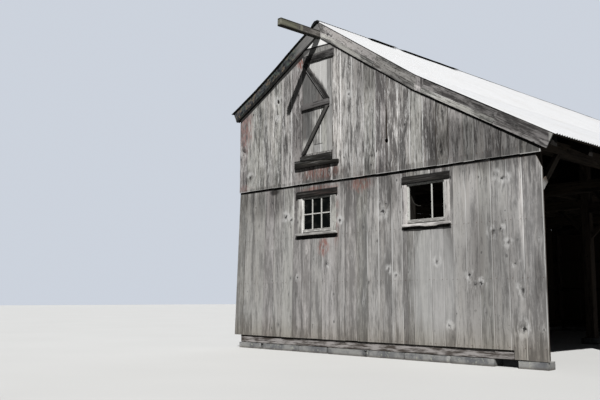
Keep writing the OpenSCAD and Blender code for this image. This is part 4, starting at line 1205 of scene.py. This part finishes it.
class BARN_OT_roll_roofing(bpy.types.Operator):
    """Dark roll roofing in lapped strips on the left slope"""

    bl_idname = "barn.roll_roofing"
    bl_label = "Roll Roofing"

    def execute(self, context):
        low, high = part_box("left_roofing")
        top, downhill, normal, *_ = slope("left_roof_boards")
        strips, lap = 3, 0.07
        wide = ((high.x - low.x) / abs(downhill.x) + lap * (strips - 1)) / strips
        pieces = []
        for k in range(strips):
            take()
            bpy.ops.mesh.primitive_grid_add(x_subdivisions=60, y_subdivisions=6, size=1)
            strip = bpy.context.object
            strip.data.transform(sized(high.y - low.y, wide, 1))
            lift = ROLL_LIFT + ROLL_STACK * (strips - 1 - k)
            place = top + downhill * (wide / 2 + k * (wide - lap)) + normal * lift
            place = Matrix.Translation(place + Vector((0, (low.y + high.y) / 2, 0)))
            strip.data.transform(place @ turned(BACK, downhill, -normal))
            roughen(strip, 0.002, 70 + k)
            pieces.append(strip)
        roof = join("left_roll_roofing", pieces)
        sag(roof)
        apply(roof, "SOLIDIFY", thickness=ROLL_THICK, offset=0.0)
        smooth(roof)
        clothe(roof, "roofing", ["left_roofing"])
        return {"FINISHED"}


# Stretches along the ridge where the cap's right-hand flange is torn off, and the curl at its front end
CAP_TORN = ((-5.8, -4.44), (-3.70, -3.48), (-1.65, 6.7))
CAP_CURL = ((-0.165, -0.105), (-0.12, -0.05), (-0.07, -0.012), (-0.015, -0.008), (0.02, -0.03))
CURL_WIDE, CURL_THICK, CURL_LAP = 0.09, 0.009, 0.12


class BARN_OT_ridge_cap(bpy.types.Operator):
    """Ridge cap in lapped lengths, bent over the ridge, with its edges lifted by the waves below"""

    bl_idname = "barn.ridge_cap"
    bl_label = "Ridge Cap"

    def execute(self, context):
        low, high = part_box("ridge_cap")
        ridge = (low.x + high.x) / 2
        run = context.scene.barn_roof.cap_length
        whole = cad_copy("ridge_cap", "ridge_cap_sheet")
        slice_up(whole, 1, 0.15)
        ends = [low.y + k * run for k in range(math.ceil((high.y - low.y) / run))] + [high.y]
        pieces = []
        for k, (a, b) in enumerate(zip(ends, ends[1:])):
            piece = bpy.data.objects.new("cap_length", whole.data.copy())
            context.scene.collection.objects.link(piece)
            a -= 0.04 * (k > 0)
            cut(piece, cube("cutter", (low.x - 1, a, low.z - 1), (high.x + 1, b, high.z + 1)))
            for c, d in CAP_TORN:
                if c < b and d > a:
                    torn = cube("cutter", (ridge + 0.03, c, low.z - 0.1), (high.x + 0.1, d, high.z + 0.1))
                    cut(piece, torn, "DIFFERENCE")
            flange = points(piece)[:, 0] > ridge + 0.1
            if flange.any():
                shift(piece, flange, (-0.01, 0, 0.045))
            piece.data.transform(Matrix.Translation((0, 0, -0.0025 * (k % 2))))
            pieces.append(piece)
        remove(whole)
        cap = join("ridge_cap_sheet", pieces)
        roughen(cap, 0.0025, 80)
        smooth(cap)
        clothe(cap, "roofing", ["ridge_cap"])

        y = (low.y + low.y + CURL_WIDE) / 2
        curl = [Vector((ridge + x, y, high.z + z)) for x, z in CAP_CURL]
        master = master_board(1)
        places = []
        for a, b in zip(curl, curl[1:]):
            lap = (b - a) * CURL_LAP
            places.append(span(a - lap, b + lap, CURL_WIDE, CURL_THICK, UP.cross(b - a).cross(b - a)))
        roll = stamped("ridge_cap_curl", master, places)
        remove(master)
        apply(roll, "REMESH", mode="VOXEL", voxel_size=0.003)
        apply(roll, "DECIMATE", ratio=0.2)
        smooth(roll, 50)
        clothe(roll, "roofing", ["ridge_cap"])
        return {"FINISHED"}


# Depth under the roof and width of the broad and of the narrow rake board
RAKE_ROWS = ((0.067, 0.132), (0.176, 0.082))


class BARN_OT_rake_boards(bpy.types.Operator):
    """Rake boards along both gables: a broad board over a narrow one, in several lengths"""

    bl_idname = "barn.rake_boards"
    bl_label = "Rake Boards"

    def execute(self, context):
        master = master_board(5)
        rng = random.Random(90)
        ridge = slope("left_roof_boards")[0].x
        for end, out in (("front", -BACK), ("back", BACK)):
            node = end + "_rake_boards"
            low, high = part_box(node)
            middle = (low.y + high.y) / 2
            for side, roofs, finish, joints in (
                ("left", ("left",), "left_rake", (0.0, 0.56, 1.0)),
                ("right", ("right", "lean_to"), "trim", (0.0, 0.08, 0.62, 1.0)),
            ):
                places = []
                for roof in roofs:
                    top, downhill, normal, fall, *_ = slope(roof + "_roof_boards")
                    for depth, width in RAKE_ROWS:
                        for c, d in zip(joints, joints[1:]):
                            a = top + downhill * (fall + 0.1) * c - normal * depth
                            b = top + downhill * ((fall + 0.1) * d - 0.004) - normal * depth
                            push = out * rng.uniform(-0.004, 0.002) + Vector((0, middle, 0))
                            if c == 0.0 and roof != "lean_to":
                                a -= downhill * 0.15
                            places.append(span(a + push, b + push, width, BOARD_THICK, out))
                rake = stamped(f"{end}_rake_{side}", master, places)
                roughen(rake, 0.0018, 91)
                keep_inside(rake, node, 1, crossing=True)
                edit(rake)
                bpy.ops.mesh.bisect(plane_co=(ridge, 0, 0), plane_no=(1, 0, 0), use_fill=True,
                                    clear_outer=side == "left", clear_inner=side == "right")
                leave()
                if (end, side) == ("front", "left"):
                    sag(rake)
                dress(rake, finish, [node], 91, 0.003)
        remove(master)
        return {"FINISHED"}


def ledge_blocks():
    """The tapered timber under the hay door, and the wedge plank let in on top of it."""
    low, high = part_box("hay_door_ledge")
    let_in, plank_out, half = 0.003, 0.01, 0.38
    timber = cube("ledge_timber", (low.x, low.y + plank_out, low.z), (high.x, high.y, low.z + LEDGE_THICK))
    co = points(timber)
    shift(timber, (co[:, 0] > high.x - 0.01) & (co[:, 2] > low.z + 0.01), (0, 0, LEDGE_THIN - LEDGE_THICK))
    fall = (LEDGE_THICK - LEDGE_THIN) / (high.x - low.x)
    middle = (low.x + high.x) / 2
    foot = low.z + LEDGE_THICK - fall * (middle - half - low.x) - let_in
    plank = cube("ledge_plank", (middle - half, low.y, foot), (middle + half, high.y, high.z))
    co = points(plank)
    shift(plank, (co[:, 0] > middle) & (co[:, 2] < foot + 0.01), (0, 0, -fall * 2 * half))
    for piece in (timber, plank):
        slice_up(piece, 0, 0.12)
    return [timber, plank]


class BARN_OT_hay_door(bpy.types.Operator):
    """Hay door with its bars, the header over it and the ledge under it"""

    bl_idname = "barn.hay_door"
    bl_label = "Hay Door"

    def execute(self, context):
        low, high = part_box("hay_door")
        face = low.y + 0.025
        master = master_board(5)
        boards = stamped("hay_door_boards", master, [
            block((a + 0.003, face, low.z), (b - 0.003, high.y - 0.003, high.z), 2)
            for a, b in zip(DOOR_SEAMS, DOOR_SEAMS[1:])])
        roughen(boards, 0.0015, 95)
        keep_inside(boards, "hay_door", 1)
        dress(boards, "door", ["hay_door"], 95, 0.002, along=UP, out=-BACK)
        wide, thick, mid = 0.11, 0.025, (low.z + high.z) / 2 + 0.03
        y = face - thick / 2
        bars = stamped("hay_door_bars", master, [
            span((low.x - 0.05, y - 0.004, mid), (high.x - 0.06, y - 0.004, mid + 0.012), 0.105, 0.034),
            span((low.x + 0.05, y, high.z + 0.03), (high.x - 0.09, y, mid + wide * 0.4), wide * 0.8, thick),
            span((high.x - 0.09, y, mid - wide * 0.4), (low.x + 0.02, y, low.z - 0.03), wide * 0.75, thick),
        ])
        roughen(bars, 0.003, 96)
        cut(bars, cube("cutter", (low.x, low.y - 0.02, low.z), (high.x, high.y, high.z)))
        dress(bars, "bar", ["hay_door"], 96, 0.006, segments=2)
        header = stamped("hay_door_header_board", master, [block(*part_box("hay_door_header"), 0)])
        dress(header, "header", ["hay_door_header"], 97, 0.004, rough=0.003)
        remove(master)
        ledge = join("hay_door_ledge_timber", ledge_blocks())
        dress(ledge, "ledge", ["hay_door_ledge"], 98, 0.008, rough=0.005, segments=2)
        return {"FINISHED"}


def loose_boxes(node):
    """The box of each loose part of a CAD node, from left to right."""
    whole = cad_copy(node, "measure")
    part, co = islands(whole.data), points(whole)
    boxes = [(Vector(co[part == k].min(0)), Vector(co[part == k].max(0))) for k in range(part.max() + 1)]
    remove(whole)
    return sorted(boxes, key=lambda box: box[0].x)


# Window trim: thickness and lap of the casings, height and reach of the heads, height of the sills
CASING_T, CASING_LAP, HEAD_HIGH, HEAD_OUT, SILL_HIGH = 0.02, 0.01, 0.105, 0.03, 0.04
# For each window the width of its side casings, the reach of head and sill past them, and of the sill out
WINDOWS = ((0.115, 0.035, 0.055), (0.095, 0.0, 0.035))
WORN_AT, WORN_REACH, WORN_DEEP = 1.34, 0.15, 0.016  # where the foot of the right-hand sill sags
# The bead that hangs torn from the right-hand sash, from its nailed end to its tip, and its section
TORN_BEAD = ((0.955, 2.47), (0.965, 2.42), (0.985, 2.38), (1.02, 2.345), (1.065, 2.325), (1.11, 2.318))
BEAD_SECTION = (0.008, 0.005)


class BARN_OT_windows(bpy.types.Operator):
    """Casings, heads, sills, sashes and glass of both windows"""

    bl_idname = "barn.windows"
    bl_label = "Windows"

    def execute(self, context):
        master = master_board(9)
        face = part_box("front_lower_siding")[0].y
        low_z, high_z = (corner.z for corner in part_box("window_casings"))
        foot, top = low_z + SILL_HIGH, high_z - HEAD_HIGH
        sashes = loose_boxes("window_sashes")
        sides, heads, sills = [], [], []
        for (low, high), (wide, horn, sill_out) in zip((sashes[0], sashes[-1]), WINDOWS):
            x0, x1 = low.x + CASING_LAP, high.x - CASING_LAP
            for a, b in ((x0 - wide, x0), (x1, x1 + wide)):
                sides.append(block((a, face - CASING_T, foot), (b, face, top), 2))
            a, b = x0 - wide - horn, x1 + wide + horn
            heads.append(block((a, face - HEAD_OUT, top + 0.002), (b, face, high_z), 0))
            sills.append(block((a, face - sill_out, low_z), (b, face, foot - 0.002), 0))
        for name, places, rough, edge, finish in (
            ("window_side_casings", sides, 0.0016, 0.003, "casing"),
            ("window_heads", heads, 0.003, 0.004, "head"), ("window_sills", sills, 0.003, 0.004, "sill"),
        ):
            piece = stamped(name, master, places)
            if finish == "sill":
                co = points(piece)
                worn = (abs(co[:, 0] - WORN_AT) < WORN_REACH) & (co[:, 2] < low_z + 0.01)
                shift(piece, worn, (0, 0, -WORN_DEEP))
            dress(piece, finish, ["window_casings"], 101, edge, rough=rough, segments=2)
        bend = [Vector((x, face + 0.03 + 0.004 * k, z)) for k, (x, z) in enumerate(TORN_BEAD)]
        bead = stamped("torn_window_bead", master, [
            span(a, b + (b - a) * 0.15, *BEAD_SECTION) for a, b in zip(bend, bend[1:])])
        dress(bead, "beam", ["window_sashes"], 103, 0.001, rough=0.0008)
        remove(master)
        for node, name, finish, slot, rough, edge in (
            ("window_sashes", "window_sash_frames", "sash", "painted_sash", 0.0006, 0.0025),
            ("window_glass", "window_panes", "glass", "glass", 0.0004, 0.0003),
        ):
            piece = cad_copy(node, name)
            slice_up(piece, 0, 0.2)
            slice_up(piece, 2, 0.2)
            dress(piece, finish, [node], 97, edge, rough=rough)
        return {"FINISHED"}


class BARN_OT_foundation(bpy.types.Operator):
    """Uneven flat stones under the walls and posts"""

    bl_idname = "barn.foundation"
    bl_label = "Foundation Stones"

    def execute(self, context):
        stones = cad_copy("foundation_stones", "foundation_field_stones")
        for axis, step in enumerate((0.12, 0.12, 0.05)):
            slice_up(stones, axis, step)
        soften(stones, 0.012)
        roughen(stones, 0.004, 99)
        pick(stones, points(stones)[:, 2] < 0)
        bpy.ops.transform.resize(value=(1, 1, 0), center_override=(0, 0, 0))
        leave()
        clothe(stones, "stone", ["foundation_stones"])
        return {"FINISHED"}


def light_sky(world):
    """A pale sky that lights the barn less than the camera sees, with a fill from the back left."""
    world.use_nodes = True
    nodes, links = world.node_tree.nodes, world.node_tree.links
    sky = nodes["Background"]
    sky.inputs["Color"].default_value = (0.84, 0.90, 1.0, 1)
    rays, round_sky = nodes.new("ShaderNodeLightPath"), nodes.new("ShaderNodeTexCoord")
    behind = nodes.new("ShaderNodeVectorMath")
    behind.operation = "DOT_PRODUCT"
    behind.inputs[1].default_value = (-0.62, 0.78, 0)
    fill, level = nodes.new("ShaderNodeMapRange"), nodes.new("ShaderNodeMapRange")
    fill.inputs["From Min"].default_value = 0.35
    fill.inputs["To Min"].default_value, fill.inputs["To Max"].default_value = SKY_LIGHT, SKY_FILL
    level.inputs["To Max"].default_value = SKY_SEEN
    for output, socket in (
        (round_sky.outputs["Generated"], behind.inputs[0]), (behind.outputs["Value"], fill.inputs["Value"]),
        (fill.outputs[0], level.inputs["To Min"]), (rays.outputs["Is Camera Ray"], level.inputs["Value"]),
        (level.outputs[0], sky.inputs["Strength"]),
    ):
        links.new(output, socket)


class BARN_OT_stage(bpy.types.Operator):
    """Pale floor, soft sky, sun from the right front and the camera"""

    bl_idname = "barn.stage"
    bl_label = "Stage"

    def execute(self, context):
        scene = context.scene
        take()
        bpy.ops.mesh.primitive_plane_add(size=160, location=(0, 0, 0))
        floor = context.object
        floor.name = "stage_floor"
        f = Finish("pale_floor")
        seen = f.node("ShaderNodeLightPath", out="Is Camera Ray")
        pale = f.mix(f.noise(f.place, 0.4), (0.54, 0.54, 0.53), (0.59, 0.59, 0.58))
        f.colour = f.mix(seen, (0.06, 0.06, 0.056), pale)
        floor.data.materials.append(f.give(0.95, None, 0.0, 0.0))

        scene.world = bpy.data.worlds.new("soft_sky")
        light_sky(scene.world)

        lamp = bpy.data.lights.new("soft_key", "SUN")
        lamp.energy = 5.15
        lamp.angle = math.radians(1.0)
        lamp.color = (1.0, 0.992, 0.98)
        key = bpy.data.objects.new("soft_key", lamp)
        key.rotation_euler = Vector((-0.453, 0.538, -0.711)).to_track_quat("-Z", "Y").to_euler()
        scene.collection.objects.link(key)

        lens = bpy.data.cameras.new("camera")
        lens.lens = 45.304
        lens.sensor_width = 36
        lens.clip_end = 300
        camera = bpy.data.objects.new("camera", lens)
        camera.location = (8.1406, -14.7884, 0.922)
        camera.rotation_euler = [math.radians(v) for v in (97.39358, -0.12263, 46.60212)]
        scene.collection.objects.link(camera)
        scene.camera = camera
        scene.view_settings.view_transform = "Standard"
        scene.view_settings.look = "None"
        return {"FINISHED"}


STEPS = (
    "front_siding", "side_and_back_siding", "timber_frame", "loft_and_roof_boards", "corrugated_roof",
    "roll_roofing", "ridge_cap", "rake_boards", "hay_door", "windows", "foundation", "stage",
)


class BARN_PT_panel(bpy.types.Panel):
    """Lists the barn's pieces"""

    bl_idname = "BARN_PT_panel"
    bl_label = "Barn"
    bl_space_type = "VIEW_3D"
    bl_region_type = "UI"
    bl_category = "Barn"

    def draw(self, context):
        for group in (context.scene.barn_siding, context.scene.barn_roof, context.scene.barn_finish):
            for key in group.bl_rna.properties.keys():
                if key not in ("rna_type", "name"):
                    self.layout.prop(group, key)
        for step in STEPS:
            self.layout.operator("barn." + step)


CLASSES = (
    BarnSidingSettings, BarnRoofSettings, BarnFinishSettings, BARN_OT_front_siding,
    BARN_OT_side_and_back_siding, BARN_OT_timber_frame, BARN_OT_loft_and_roof_boards,
    BARN_OT_corrugated_roof, BARN_OT_roll_roofing, BARN_OT_ridge_cap, BARN_OT_rake_boards,
    BARN_OT_hay_door, BARN_OT_windows, BARN_OT_foundation, BARN_OT_stage, BARN_PT_panel,
)


def register():
    for c in CLASSES:
        bpy.utils.register_class(c)
    bpy.types.Scene.barn_siding = bpy.props.PointerProperty(type=BarnSidingSettings)
    bpy.types.Scene.barn_roof = bpy.props.PointerProperty(type=BarnRoofSettings)
    bpy.types.Scene.barn_finish = bpy.props.PointerProperty(type=BarnFinishSettings)


def unregister():
    del bpy.types.Scene.barn_siding, bpy.types.Scene.barn_roof, bpy.types.Scene.barn_finish
    for c in reversed(CLASSES):
        bpy.utils.unregister_class(c)


def main():
    register()
    take()
    for step in STEPS:
        getattr(bpy.ops.barn, step)()


if __name__ == "__main__":
    main()
